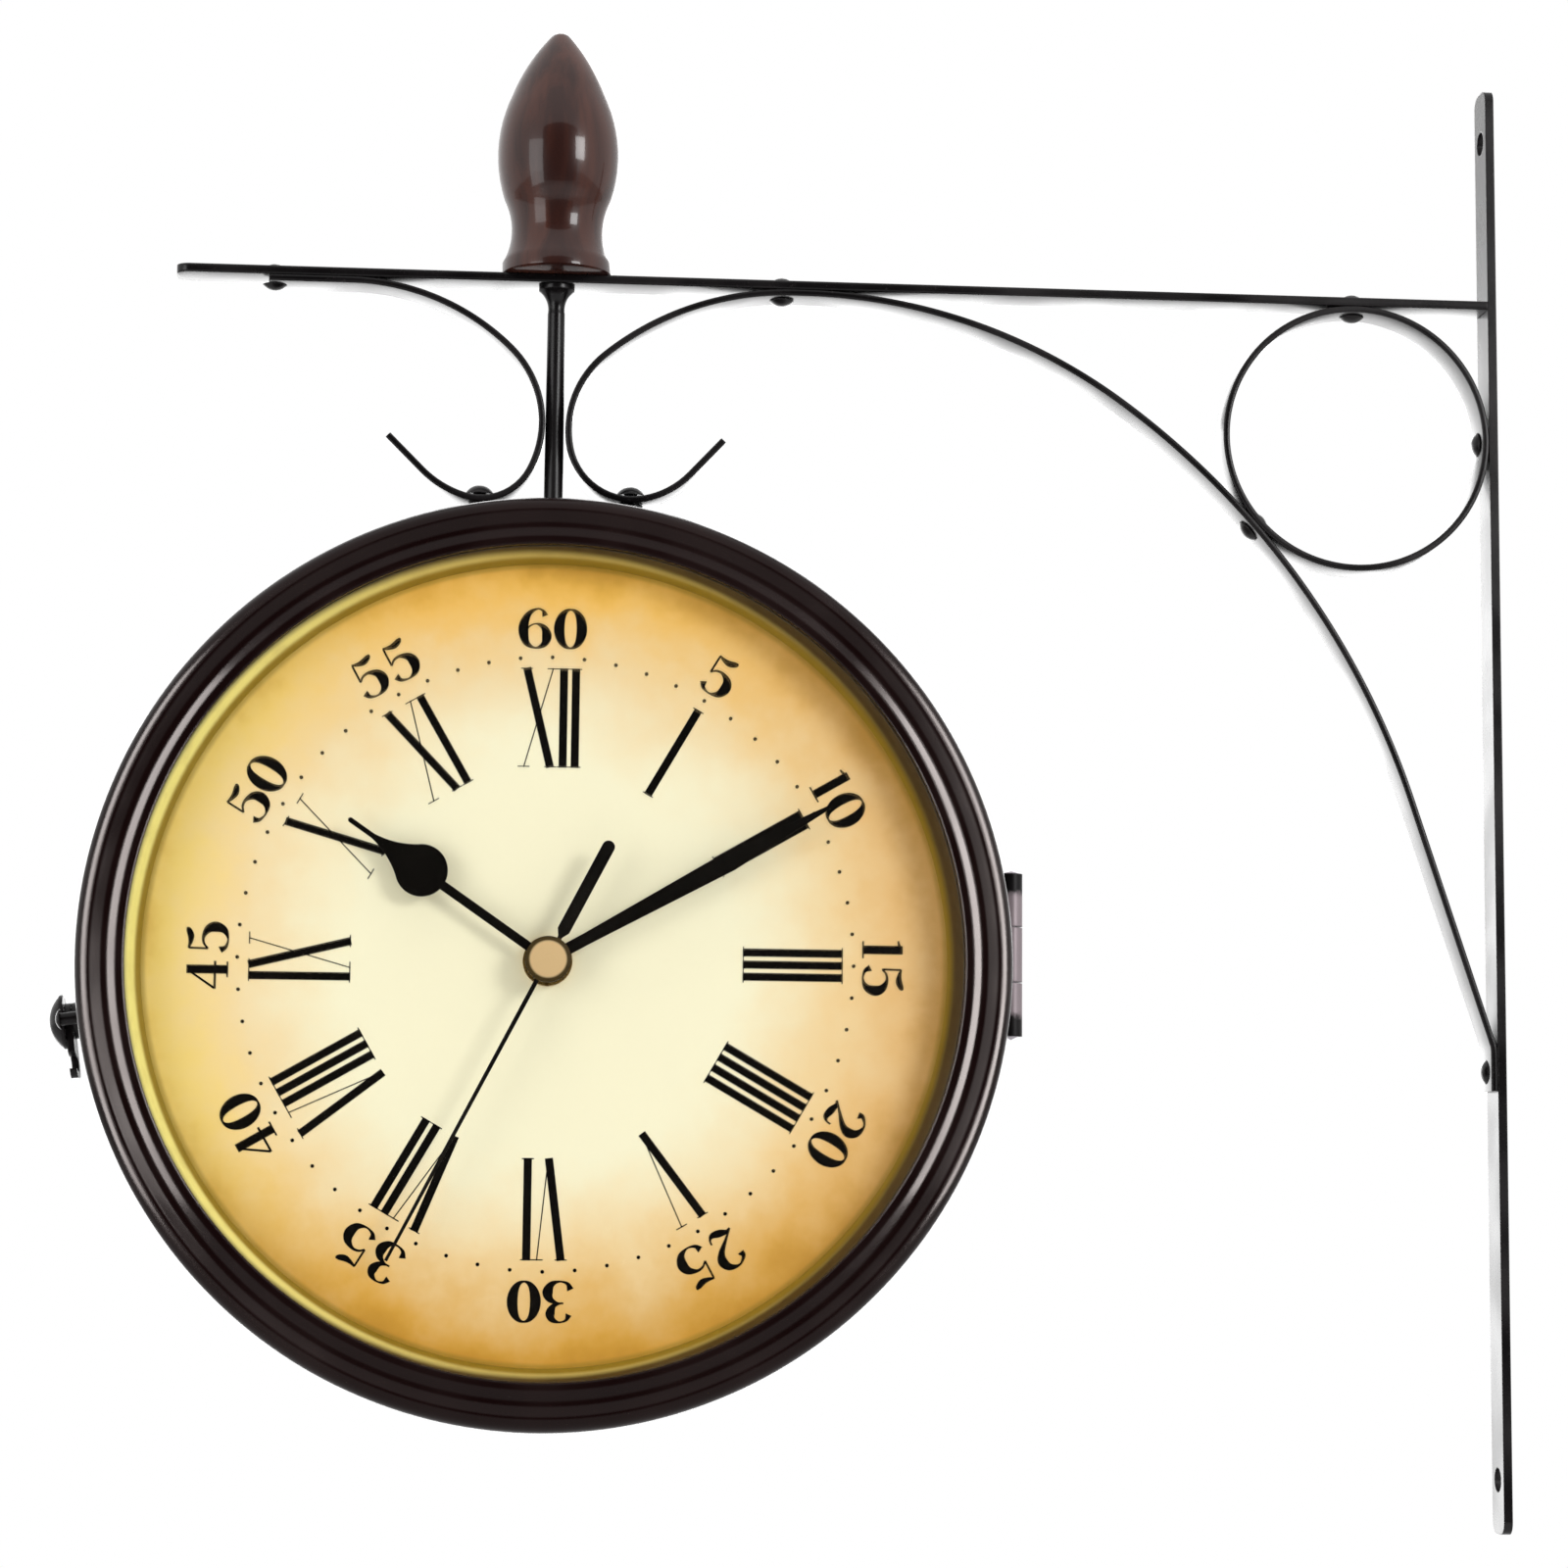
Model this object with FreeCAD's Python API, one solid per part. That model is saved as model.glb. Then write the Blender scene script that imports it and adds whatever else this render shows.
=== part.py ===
import FreeCAD, Part
import math
import os

# Double sided station clock: a round clock with a face on each side, hung from
# a wrought flat-bar bracket that screws to a wall. All sizes are millimetres.
#
# Frame: +Z up, +X towards the wall, the front face looks along -Y. The origin
# lies on the wall, midway between the two wall screws. Inside this file the
# pieces are drawn about the centre of the clock ("clock coordinates": x right,
# z up, y = 0 in the middle of the thickness) and moved to the wall frame when
# they are written. The rear face is the front one turned half a turn about z.

Vector = FreeCAD.Vector

# ---------------------------------------------------------------- bracket
REACH = 218.5               # wall to the clock's centre
CLOCK_DROP = 43.0           # clock's centre below the middle of the wall screws
BAR_WIDTH = 9.5             # every flat bar, measured along y
BAR_THICK = 2.0             # wall bar and top bar
STRIP_THICK = 1.5           # ring, scrolls and arch
WALL_BAR_LENGTH = 334.0
WALL_SCREW_INSET = 12.0     # from each end of the wall bar
WALL_SCREW_HOLE = 5.5       # hole diameter for the wall screws
BAR_END_ROUND = 3.0         # corner radius of a bar's end
ARM_RISE = 57.0             # underside of the top bar above the top of the drum
ARM_OVERHANG = 86.3         # top bar's free end beyond the clock's centre
TENON_WIDTH = 5.0           # top bar's tenon through the wall bar
TENON_GAP = 0.1

ARCH_START = 57.0           # the arch leaves the top bar here, right of the stem
ARCH_RADIUS_TOP = 126.0
ARCH_TURN_TOP = 35.8
ARCH_RADIUS_LOW = 182.3
ARCH_TURN_LOW = 36.0
FOOT_BEND = 6.0             # radius of the bend above the arch's foot
FOOT_LENGTH = 9.0
RIGHT_SCROLL_START = 54.2   # the same strip turns down into the right scroll here
RIGHT_SCROLL = ((66.5, 40.2), (22.9, 61.5), (14.3, 89.3), (19.6, 36.0), (11.0, 0.0))
LEFT_SCROLL_START = 46.7    # left of the stem
LEFT_SCROLL_LAP = 18.5      # flat run under the top bar
LEFT_SCROLL = ((52.4, -44.1), (24.0, -73.0), (12.5, -79.6), (22.9, -28.2), (11.0, 0.0))

RIVET_SHANK = 1.4           # radius
RIVET_HEAD = 2.8            # radius
RIVET_HEAD_HEIGHT = 1.3
RIVET_GAP = 0.1             # hole's radius over the shank's
RIVET_SLACK = 0.25          # under a head that sits on a curved strip
LEFT_RIVET = 64.2           # left of the stem
ARCH_RIVET = 51.8           # right of the stem

STEM_TOP_RADIUS = 2.0
STEM_FOOT_RADIUS = 2.2
STEM_COLLAR_RADIUS = 4.1
STEM_COLLAR_HEIGHT = 6.5
STEM_FLANGE_RADIUS = 5.0
STEM_FLANGE_HEIGHT = 2.5
ROD_RADIUS = 1.25
ROD_GAP = 0.1
ROD_INTO_FINIAL = 20.0
NUT_FLATS = 5.0             # across flats of the rod's nut
NUT_HEIGHT = 2.4
WASHER_RADIUS = 5.0
WASHER_THICK = 1.2

FINIAL_FOOT_RADIUS = 12.6
FINIAL_FOOT_HEIGHT = 3.2
FINIAL_WAIST_RADIUS = 10.6
FINIAL_WAIST_HEIGHT = 11.5
FINIAL_SHOULDER_RADIUS = 12.3
FINIAL_SHOULDER_HEIGHT = 18.1
FINIAL_BELLY_RADIUS = 14.0
FINIAL_BELLY_HEIGHT = 26.5
FINIAL_NECK_RADIUS = 11.2
FINIAL_NECK_HEIGHT = 42.3
FINIAL_CROWN_RADIUS = 7.6
FINIAL_CROWN_HEIGHT = 49.8
FINIAL_TIP_RADIUS = 2.4
FINIAL_TIP_ROUND = 1.1      # height of the rounded tip
FINIAL_HEIGHT = 58.0

SCROLL_SCREW_RADIUS = 1.5
SCROLL_SCREW_HEAD = 3.4     # radius
SCROLL_SCREW_HEAD_HEIGHT = 2.2
SPACER_RADIUS = 2.8

# ---------------------------------------------------------------- case
CLOCK_THICK = 76.0          # over both bezels
DRUM_RADIUS = 100.0
SHEET = 1.2                 # drum and bezel sheet
SPLIT_DEPTH = 20.0          # drum's edge, from the middle of the thickness
SPLIT_GAP = 0.2
SPIGOT_REACH = 4.0          # drum's inner lip runs this far into each bezel
SPIGOT_ROOT = 3.0
SPIGOT_GAP = 0.3
BEZEL_STEP = 1.0            # bezel's roll outside the drum
BEZEL_WIDTH = 10.8          # from the bezel's outside to its inner edge
GLASS_LAP = 2.6             # glass and dial behind the bezel's inner edge
GLASS_GAP = 0.2             # radial, glass and dial in the bezel
GLASS_THICK = 1.5
LIP_THICK = 0.5             # bezel's inner edge in front of the glass
LIP_SETBACK = 1.2           # from the bezel's front to its inner edge
ROLL_CREST = 3.8            # crest of the outer roll, in from the bezel's outside
ROLL_SHOULDER = 4.5         # the roll's widest place, behind its crest
GROOVE_LINE = 6.6           # groove between the roll and the inner bead, likewise
GROOVE_DEPTH = 1.6
BEAD_LINE = 8.8             # crest of the inner bead, likewise
ROLL_LENGTH = 11.0          # the roll's back edge, behind the crest
DIAL_THICK = 0.8
DIAL_DEPTH = 25.8           # dial's face, from the middle of the thickness
REVEAL_WIDTH = 2.6          # how far the sloping ring's foot shows inside the bezel
TAB_COUNT = 6
TAB_WIDTH = 8.0
TAB_LENGTH = 4.5
BEZEL_SCREW_COUNT = 4
BEZEL_SCREW_RADIUS = 1.2
BEZEL_SCREW_HEAD = 2.2

HINGE_STAND_OFF = 2.6       # pin's axis outside the drum
HINGE_MIDDLE = 3.4          # above the clock's centre
BARREL_RADIUS = 2.5
BARREL_LENGTH = 36.0
KNUCKLE_LENGTH = 12.0       # the door's knuckle, in the middle
KNUCKLE_GAP = 0.3
HINGE_PIN_RADIUS = 1.2
PIN_RUNNING_GAP = 0.05
LEAF_THICK = 1.4
LEAF_LENGTH = 48.0
LEAF_FIXED_WIDTH = 12.6
LEAF_DOOR_WIDTH = 6.0
LEAF_CLEARANCE = 0.3

LATCH_ANGLE = 187.6         # round the drum from +x, so left and a little low
LATCH_PLATE_LENGTH = 26.0
LATCH_PLATE_WIDTH = 11.0
LATCH_PLATE_THICK = 1.8
LATCH_BOSS_RADIUS = 4.0
LATCH_BOSS_HEIGHT = 1.8
LATCH_PIVOT_DEPTH = 14.0    # from the middle of the thickness
LATCH_STUD_DEPTH = 23.5
LATCH_HOOK_LENGTH = 12.5
LATCH_HOOK_WIDTH = 8.0
LATCH_HOOK_THICK = 1.5
LATCH_DOME_RADIUS = 6.0
LATCH_DOME_HEIGHT = 3.7
LATCH_RIVET_RADIUS = 1.5
LATCH_RUNNING_GAP = 0.05
LATCH_SIDE_GAP = 0.1
STUD_RADIUS = 1.4
STUD_HEAD_RADIUS = 2.3
STUD_GAP = 0.25             # hook's notch over the stud

# ---------------------------------------------------------------- movement
MOVEMENT_SIZE = 56.0        # square
MOVEMENT_DEPTH = 16.0       # behind the dial
MOVEMENT_WALL = 1.2
BATTERY_RADIUS = 7.1
BATTERY_LENGTH = 50.0
BATTERY_GAP = 0.3
NECK_RADIUS = 3.9
NECK_LENGTH = 4.4           # in front of the case
NECK_NUT_RADIUS = 5.4
NECK_NUT_HEIGHT = 2.0
NECK_GAP = 0.1
PIVOT_RADIUS = 0.55
PIVOT_DEEP = 0.6            # how far an arbor's end sits in its blind hole
PIVOT_GAP = 0.05
MINUTE_STUD_RADIUS = 0.8    # fixed stud the minute wheel turns on
MINUTE_BOSS_RADIUS = 1.1
MINUTE_PIPE_RADIUS = 1.65
HOUR_PIPE_RADIUS = 2.65
PIPE_GAP = 0.05
WHEEL_THICK = 0.8
PINION_THICK = 1.4
MODULE_FINE = 0.32
MODULE_STEP = 0.40          # intermediate pinion and second wheel
ROTOR_TEETH = 8
INTERMEDIATE_TEETH = 40
INTERMEDIATE_PINION_TEETH = 8
SECOND_TEETH = 48
SECOND_PINION_TEETH = 8
THIRD_TEETH = 64
THIRD_PINION_TEETH = 8
CENTRE_TEETH = 60
CANNON_TEETH = 12
MINUTE_TEETH = 36
MINUTE_PINION_TEETH = 10
HOUR_TEETH = 40
SET_TEETH = 12
THIRD_BEARING = 40.0        # directions from the centre, degrees from +x
INTERMEDIATE_BEARING = 150.0
ROTOR_BEARING = 150.0       # from the intermediate arbor
MINUTE_BEARING = 205.0
SET_BEARING = 185.0         # from the minute wheel
MAGNET_RADIUS = 2.5
MAGNET_HEIGHT = 2.8
STATOR_THICK = 1.0
STATOR_HALF = 4.1           # half the plate's width at the rotor
STATOR_LEG = 4.0            # width of each leg beside it
STATOR_RISE = 14.0          # top of the legs above the rotor
COIL_RISE = 10.4            # coil's axis above the rotor
STATOR_GAP = 0.5
COIL_RADIUS = 4.0
KNOB_RADIUS = 4.5
KNOB_HEIGHT = 3.2

# ---------------------------------------------------------------- hands
HAND_THICK = 0.6
HOUR_ANGLE = 304.6          # clockwise from twelve
MINUTE_ANGLE = 60.6
SECOND_ANGLE = 207.3
HOUR_LENGTH = 53.0
HOUR_SHAFT_WIDTH = 2.0
HOUR_POINT = 1.1
HOUR_BULB_RADIUS = 5.7
HOUR_BULB_NECK = 46.5       # where the bulb has drawn in to the thin point
HOUR_BULB_CENTRE = 33.6
HOUR_HUB_RADIUS = 4.7
HOUR_HAND_DEPTH = 29.8      # back of each hand, from the middle of the thickness
MINUTE_LENGTH = 70.0
MINUTE_WIDE = 4.4
MINUTE_WIDE_AT = 45.0
MINUTE_NARROW = 2.6
MINUTE_POINT = 0.8
MINUTE_HUB_RADIUS = 4.8
MINUTE_HAND_DEPTH = 31.4
SECOND_LENGTH = 73.0
SECOND_WIDTH = 1.0
SECOND_TAIL_LENGTH = 29.0
SECOND_TAIL_WIDTH = 2.8
SECOND_CAP_RADIUS = 5.0
SECOND_CAP_HEIGHT = 1.2
SECOND_HAND_DEPTH = 33.0

# ---------------------------------------------------------------- worked out
HALF_THICK = CLOCK_THICK / 2
ARM_HEIGHT = DRUM_RADIUS + ARM_RISE           # top bar's underside above the clock's centre
WALL_SCREW_SPACING = WALL_BAR_LENGTH - 2 * WALL_SCREW_INSET
BEZEL_RADIUS = DRUM_RADIUS + BEZEL_STEP
OPENING_RADIUS = BEZEL_RADIUS - BEZEL_WIDTH
GLASS_RADIUS = OPENING_RADIUS + GLASS_LAP
ROLL_RADIUS = BEZEL_RADIUS - ROLL_CREST
GROOVE_RADIUS = BEZEL_RADIUS - GROOVE_LINE
BEAD_RADIUS = BEZEL_RADIUS - BEAD_LINE
REVEAL_FOOT_RADIUS = OPENING_RADIUS - REVEAL_WIDTH
HINGE_AXIS = DRUM_RADIUS + HINGE_STAND_OFF    # right of the clock's centre
BAR_FACE = REACH - BAR_THICK                  # room side of the wall bar
ARM_TOP = ARM_HEIGHT + BAR_THICK
STRIP_LINE = ARM_HEIGHT - STRIP_THICK / 2     # centre line of a strip under the arm
SKIRT_INNER = DRUM_RADIUS - SHEET
GLASS_FRONT = HALF_THICK - LIP_SETBACK - LIP_THICK
GLASS_BACK = GLASS_FRONT - GLASS_THICK
DIAL_BACK = DIAL_DEPTH - DIAL_THICK
GLASS_SEAT = GLASS_RADIUS + GLASS_GAP
SPLIT = SPLIT_DEPTH + SPLIT_GAP
SPIGOT_OUTER = SKIRT_INNER - SPIGOT_GAP
SPIGOT_INNER = SPIGOT_OUTER - SHEET
HINGE_DEPTH = SPLIT_DEPTH
BEZEL_SCREW_DEPTH = SPLIT_DEPTH + SPIGOT_REACH / 2
CASE_FRONT = DIAL_BACK                        # movement's face on the dial's back
CASE_BACK = CASE_FRONT - MOVEMENT_DEPTH
CASE_INSIDE_FRONT = CASE_FRONT - MOVEMENT_WALL
CASE_INSIDE_BACK = CASE_BACK + MOVEMENT_WALL
CASE_HALF = MOVEMENT_SIZE / 2
BATTERY_AXIS = -CASE_HALF + MOVEMENT_WALL + BATTERY_GAP + BATTERY_RADIUS
BAY_TOP = BATTERY_AXIS + BATTERY_RADIUS + BATTERY_GAP

THIRD_DISTANCE = MODULE_FINE * (SECOND_PINION_TEETH + THIRD_TEETH) / 2
MODULE_CENTRE = 2 * THIRD_DISTANCE / (THIRD_PINION_TEETH + CENTRE_TEETH)
MINUTE_DISTANCE = MODULE_FINE * (CANNON_TEETH + MINUTE_TEETH) / 2
MODULE_HOUR = 2 * MINUTE_DISTANCE / (MINUTE_PINION_TEETH + HOUR_TEETH)
STEP_DISTANCE = MODULE_STEP * (INTERMEDIATE_PINION_TEETH + SECOND_TEETH) / 2
ROTOR_DISTANCE = MODULE_FINE * (ROTOR_TEETH + INTERMEDIATE_TEETH) / 2
SET_DISTANCE = MODULE_FINE * (SET_TEETH + MINUTE_TEETH) / 2


def polar(radius, degrees, start=(0.0, 0.0)):
    """Point at a distance and bearing from start, in the x-z plane."""
    angle = math.radians(degrees)
    return start[0] + radius * math.cos(angle), start[1] + radius * math.sin(angle)


THIRD_AT = polar(THIRD_DISTANCE, THIRD_BEARING)
INTERMEDIATE_AT = polar(STEP_DISTANCE, INTERMEDIATE_BEARING)
ROTOR_AT = polar(ROTOR_DISTANCE, ROTOR_BEARING, INTERMEDIATE_AT)
MINUTE_AT = polar(MINUTE_DISTANCE, MINUTE_BEARING)
SET_AT = polar(SET_DISTANCE, SET_BEARING, MINUTE_AT)

# Layers of the train, back to front: each is a wheel's back face
LAYER_STEP = CASE_INSIDE_BACK + 3.4           # intermediate wheel
LAYER_SECOND = LAYER_STEP + 2.2
LAYER_THIRD = LAYER_SECOND + 2.0
LAYER_CENTRE = LAYER_THIRD + 2.1
LAYER_MINUTE = LAYER_CENTRE + 1.2
LAYER_HOUR = LAYER_MINUTE + 1.3
PINION_LAP = (PINION_THICK - WHEEL_THICK) / 2


# ================================================================ helpers

def box(x0, x1, y0, y1, z0, z1):
    return Part.makeBox(x1 - x0, y1 - y0, z1 - z0, Vector(x0, y0, z0))


def rod(radius, start, end):
    """Round bar between two points."""
    line = end - start
    return Part.makeCylinder(radius, line.Length, start, line)


def fuse(shapes):
    result = shapes[0]
    for shape in shapes[1:]:
        result = result.fuse(shape)
    return result.removeSplitter()


def group(shapes):
    return Part.makeCompound(shapes)


def wire_of(points):
    """Closed outline. A point written ("arc", middle, end) adds a round stretch."""
    edges = []
    last = points[0]
    for item in points[1:] + [points[0]]:
        if item[0] == "arc":
            middle, end = item[1], item[2]
            edges.append(Part.Arc(last, middle, end).toShape())
            last = end
        elif (item - last).Length > 1e-6:
            edges.append(Part.LineSegment(last, item).toShape())
            last = item
    return Part.Wire(edges)


def turned(outline, axis_point, axis):
    return Part.Face(wire_of(outline)).revolve(axis_point, axis, 360)


def turned_y(profile):
    """Turned about the clock's own axis, from (radius, y) pairs."""
    points = [tag_points(item, lambda p: Vector(p[0], p[1], 0)) for item in profile]
    return turned(points, Vector(0, 0, 0), Vector(0, 1, 0))


def turned_z(profile, x=0.0):
    """Turned about a vertical axis at x, from (radius, z) pairs."""
    points = [tag_points(item, lambda p: Vector(x + p[0], 0, p[1])) for item in profile]
    return turned(points, Vector(x, 0, 0), Vector(0, 0, 1))


def tag_points(item, place):
    if item[0] == "arc":
        return ("arc", place(item[1]), place(item[2]))
    return place(item)


def plate(outline, back, thick):
    """Flat piece facing the viewer: outline in (x, z), back face at depth back."""
    points = [tag_points(item, lambda p: Vector(p[0], -back, p[1])) for item in outline]
    return Part.Face(wire_of(points)).extrude(Vector(0, -thick, 0))


def disc(radius, back, thick, at=(0.0, 0.0)):
    """Round piece on an axis along y at (x, z), from depth back towards the viewer."""
    return Part.makeCylinder(radius, thick, Vector(at[0], -back, at[1]), Vector(0, -1, 0))


def clockwise(shape, degrees):
    """Turn as the hands turn, seen from the front."""
    return turn(shape, degrees, Vector(0, 1, 0))


def turn(shape, degrees, axis, about=Vector(0, 0, 0)):
    moved = shape.copy()
    moved.rotate(about, axis, degrees)
    return moved


def round_the_drum(shape, degrees):
    """Carry a piece drawn at the drum's right side to another place on its rim."""
    return turn(shape, -degrees, Vector(0, 1, 0))


def advance(point, heading, size, turn_angle, share=1.0):
    """Point and heading part of the way along a straight run or an arc."""
    if not turn_angle:
        return polar(size * share, heading, point), heading
    side = math.copysign(size, turn_angle)
    start = math.radians(heading)
    end = math.radians(heading + turn_angle * share)
    x = point[0] + side * (math.sin(end) - math.sin(start))
    z = point[1] - side * (math.cos(end) - math.cos(start))
    return (x, z), heading + turn_angle * share


def follow(start, heading, runs, wanted=None):
    """Point and heading at the end of a bent bar, or where it reaches a heading."""
    point = start
    for size, turn_angle in runs:
        if wanted is not None and turn_angle:
            share = (wanted - heading) / turn_angle
            if 0 < share <= 1:
                return advance(point, heading, size, turn_angle, share)
        point, heading = advance(point, heading, size, turn_angle)
    return point, heading


def flat_strip(start, heading, runs):
    """Bent flat bar seen on edge, its centre line made of (radius, turn) arcs.

    A turn of 0 makes a straight run of that length. A positive turn is to the left.
    """
    pieces = []
    point = start
    for size, turn_angle in runs:
        spots = [advance(point, heading, size, turn_angle, share) for share in (0, 0.5, 1)]
        left = [beside(spot, STRIP_THICK / 2) for spot in spots]
        right = [beside(spot, -STRIP_THICK / 2) for spot in spots]
        if turn_angle:
            outline = [left[0], ("arc", left[1], left[2]), right[2], ("arc", right[1], right[0])]
        else:
            outline = [left[0], left[2], right[2], right[0]]
        pieces.append(plate(outline, -BAR_WIDTH / 2, BAR_WIDTH))
        point, heading = spots[-1]
    return fuse(pieces)


def beside(spot, offset):
    """A point moved to the left of its heading."""
    point, heading = spot
    return polar(offset, heading + 90, point)


def dome(radius, height, base, up=1):
    """Rounded cap's side, from (radius, base) in to the axis, for a turned outline."""
    ball = (radius ** 2 + height ** 2) / (2 * height)
    half = math.asin(min(1.0, radius / ball)) / 2
    crown = base + up * height
    middle = (ball * math.sin(half), crown - up * ball * (1 - math.cos(half)))
    return ("arc", middle, (0, crown))


def pointing(shape, start, direction):
    """Place a piece drawn up the z axis from the origin."""
    moved = shape.copy()
    moved.Placement = FreeCAD.Placement(start, FreeCAD.Rotation(Vector(0, 0, 1), direction))
    return moved


def rivet(start, direction, grip, slack=0.0, flush=False):
    """Dome-headed rivet whose shank runs from start. A flush one has no second head."""
    head, shank, top = RIVET_HEAD, RIVET_SHANK, grip
    first_head = dome(head, RIVET_HEAD_HEIGHT, -slack, -1)
    outline = [first_head[2], ("arc", first_head[1], (head, -slack)), (shank, -slack)]
    if flush:
        outline += [(shank, top), (0, top)]
    else:
        top += slack
        outline += [(shank, top), (head, top), dome(head, RIVET_HEAD_HEIGHT, top)]
    return pointing(turned_z(outline), start, direction)


def gear(teeth, module, back, thick, phase, at=(0.0, 0.0)):
    """Toothed disc: straight-sided teeth, one centred on the bearing phase."""
    pitch = module * teeth / 2
    tip, root = pitch + 0.75 * module, pitch - 1.15 * module
    outline = []
    for index in range(teeth):
        for radius, share in ((root, -0.26), (tip, -0.09), (tip, 0.09), (root, 0.26)):
            outline.append(polar(radius, phase + (index + share) * 360 / teeth, at))
    return plate(outline, back, thick)


def meshed_phase(bearing, teeth, phase, other_teeth):
    """Phase that puts a gap of the other gear on this gear's tooth.

    bearing is the direction from this gear to the other one.
    """
    pitch, other_pitch = 360 / teeth, 360 / other_teeth
    ahead = (phase - bearing) / pitch
    ahead -= round(ahead)
    return bearing + 180 - (ahead + 0.5) * other_pitch


def bearing_of(start, end):
    return math.degrees(math.atan2(end[1] - start[1], end[0] - start[0]))


# ================================================================ bracket

ARCH_BENDS = ((ARCH_RADIUS_TOP, -ARCH_TURN_TOP), (ARCH_RADIUS_LOW, -ARCH_TURN_LOW))


def arch_runs():
    """The arch's two bends, then straight to the wall bar and down along it."""
    (x, z), heading = follow((ARCH_START, STRIP_LINE), 0, ARCH_BENDS)
    turn_left = 90 + heading
    bend_reach = FOOT_BEND * (1 - math.sin(math.radians(-heading)))
    straight = (BAR_FACE - STRIP_THICK / 2 - bend_reach - x) / math.cos(math.radians(heading))
    return ARCH_BENDS + ((straight, 0), (FOOT_BEND, -turn_left), (FOOT_LENGTH, 0))


def ring_size():
    """Outer radius that touches the top bar, the wall bar and the arch."""
    share = math.radians(ARCH_TURN_TOP)
    rise = ARCH_RADIUS_TOP - ARCH_RADIUS_LOW
    centre_x = ARCH_START + rise * math.sin(share)
    centre_z = STRIP_LINE - ARCH_RADIUS_TOP + rise * math.cos(share)
    across, down = BAR_FACE - centre_x, ARM_HEIGHT - centre_z
    reach = ARCH_RADIUS_LOW + STRIP_THICK / 2
    total = across + down + reach
    radius = total - math.sqrt(total ** 2 - across ** 2 - down ** 2 + reach ** 2)
    towards_arch = bearing_of((BAR_FACE - radius, ARM_HEIGHT - radius), (centre_x, centre_z))
    return radius, towards_arch


RING_RADIUS, RING_ARCH_BEARING = ring_size()
RING_X = BAR_FACE - RING_RADIUS
RING_Z = ARM_HEIGHT - RING_RADIUS
FOOT_END = follow((ARCH_START, STRIP_LINE), 0, arch_runs())[0]
FOOT_RIVET_Z = FOOT_END[1] + FOOT_LENGTH / 2
RIGHT_LOW = follow((RIGHT_SCROLL_START, STRIP_LINE), 180, RIGHT_SCROLL, 360)[0]
LEFT_LOW = follow((-LEFT_SCROLL_START, STRIP_LINE), 0, LEFT_SCROLL, -180)[0]


def upright_hole(x, radius, low, high):
    return rod(radius, Vector(x, 0, low), Vector(x, 0, high))


def level_hole(z, radius, start, end):
    return rod(radius, Vector(start, 0, z), Vector(end, 0, z))


def wall_bar():
    low = CLOCK_DROP - WALL_BAR_LENGTH / 2
    half = BAR_WIDTH / 2
    bar = box(BAR_FACE, REACH, -half, half, low, low + WALL_BAR_LENGTH)
    corners = [edge for edge in bar.Edges if abs(edge.tangentAt(0).x) > 0.9]
    bar = bar.makeFillet(BAR_END_ROUND, corners)
    holes = [level_hole(CLOCK_DROP + side * WALL_SCREW_SPACING / 2, WALL_SCREW_HOLE / 2,
                        BAR_FACE - 1, REACH + 1) for side in (-1, 1)]
    holes += [level_hole(z, RIVET_SHANK + RIVET_GAP, BAR_FACE - 1, REACH + 1)
              for z in (RING_Z, FOOT_RIVET_Z)]
    width = TENON_WIDTH / 2 + TENON_GAP
    slot = box(BAR_FACE - 1, REACH + 1, -width, width, ARM_HEIGHT - TENON_GAP, ARM_TOP + TENON_GAP)
    return bar.cut(group(holes + [slot]))


def top_bar():
    half = BAR_WIDTH / 2
    bar = box(-ARM_OVERHANG, BAR_FACE, -half, half, ARM_HEIGHT, ARM_TOP)
    free_end = [edge for edge in bar.Edges
                if abs(edge.tangentAt(0).z) > 0.9 and edge.CenterOfMass.x < 0]
    bar = bar.makeFillet(BAR_END_ROUND, free_end)
    tenon = box(BAR_FACE - 1, REACH, -TENON_WIDTH / 2, TENON_WIDTH / 2, ARM_HEIGHT, ARM_TOP)
    holes = [upright_hole(x, RIVET_SHANK + RIVET_GAP, ARM_HEIGHT - 1, ARM_TOP + 1)
             for x in (-LEFT_RIVET, ARCH_RIVET, RING_X)]
    holes.append(upright_hole(0, ROD_RADIUS + ROD_GAP, ARM_HEIGHT - 1, ARM_TOP + 1))
    return fuse([bar, tenon]).cut(group(holes))


def strip_hole(point, direction):
    """Rivet hole through one strip, square to it."""
    spot = Vector(point[0], 0, point[1])
    reach = direction * (STRIP_THICK + 1)
    return rod(RIVET_SHANK + RIVET_GAP, spot - reach, spot + reach)


def arch_brace():
    """One strip: the arch down to the wall bar, and the scroll right of the stem."""
    start = (RIGHT_SCROLL_START, STRIP_LINE)
    arch = flat_strip(start, 0, ((ARCH_START - RIGHT_SCROLL_START, 0),) + arch_runs())
    scroll = flat_strip(start, 180, RIGHT_SCROLL)
    ring_side = polar(RING_RADIUS + STRIP_THICK / 2, RING_ARCH_BEARING, (RING_X, RING_Z))
    aim = polar(1, RING_ARCH_BEARING)
    holes = [strip_hole((ARCH_RIVET, STRIP_LINE), Vector(0, 0, 1)),
             strip_hole(ring_side, Vector(aim[0], 0, aim[1])),
             strip_hole((FOOT_END[0], FOOT_RIVET_Z), Vector(1, 0, 0)),
             upright_hole(RIGHT_LOW[0], SCROLL_SCREW_RADIUS + RIVET_GAP,
                          RIGHT_LOW[1] - 2, RIGHT_LOW[1] + 2)]
    return fuse([arch, scroll]).cut(group(holes))


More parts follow.
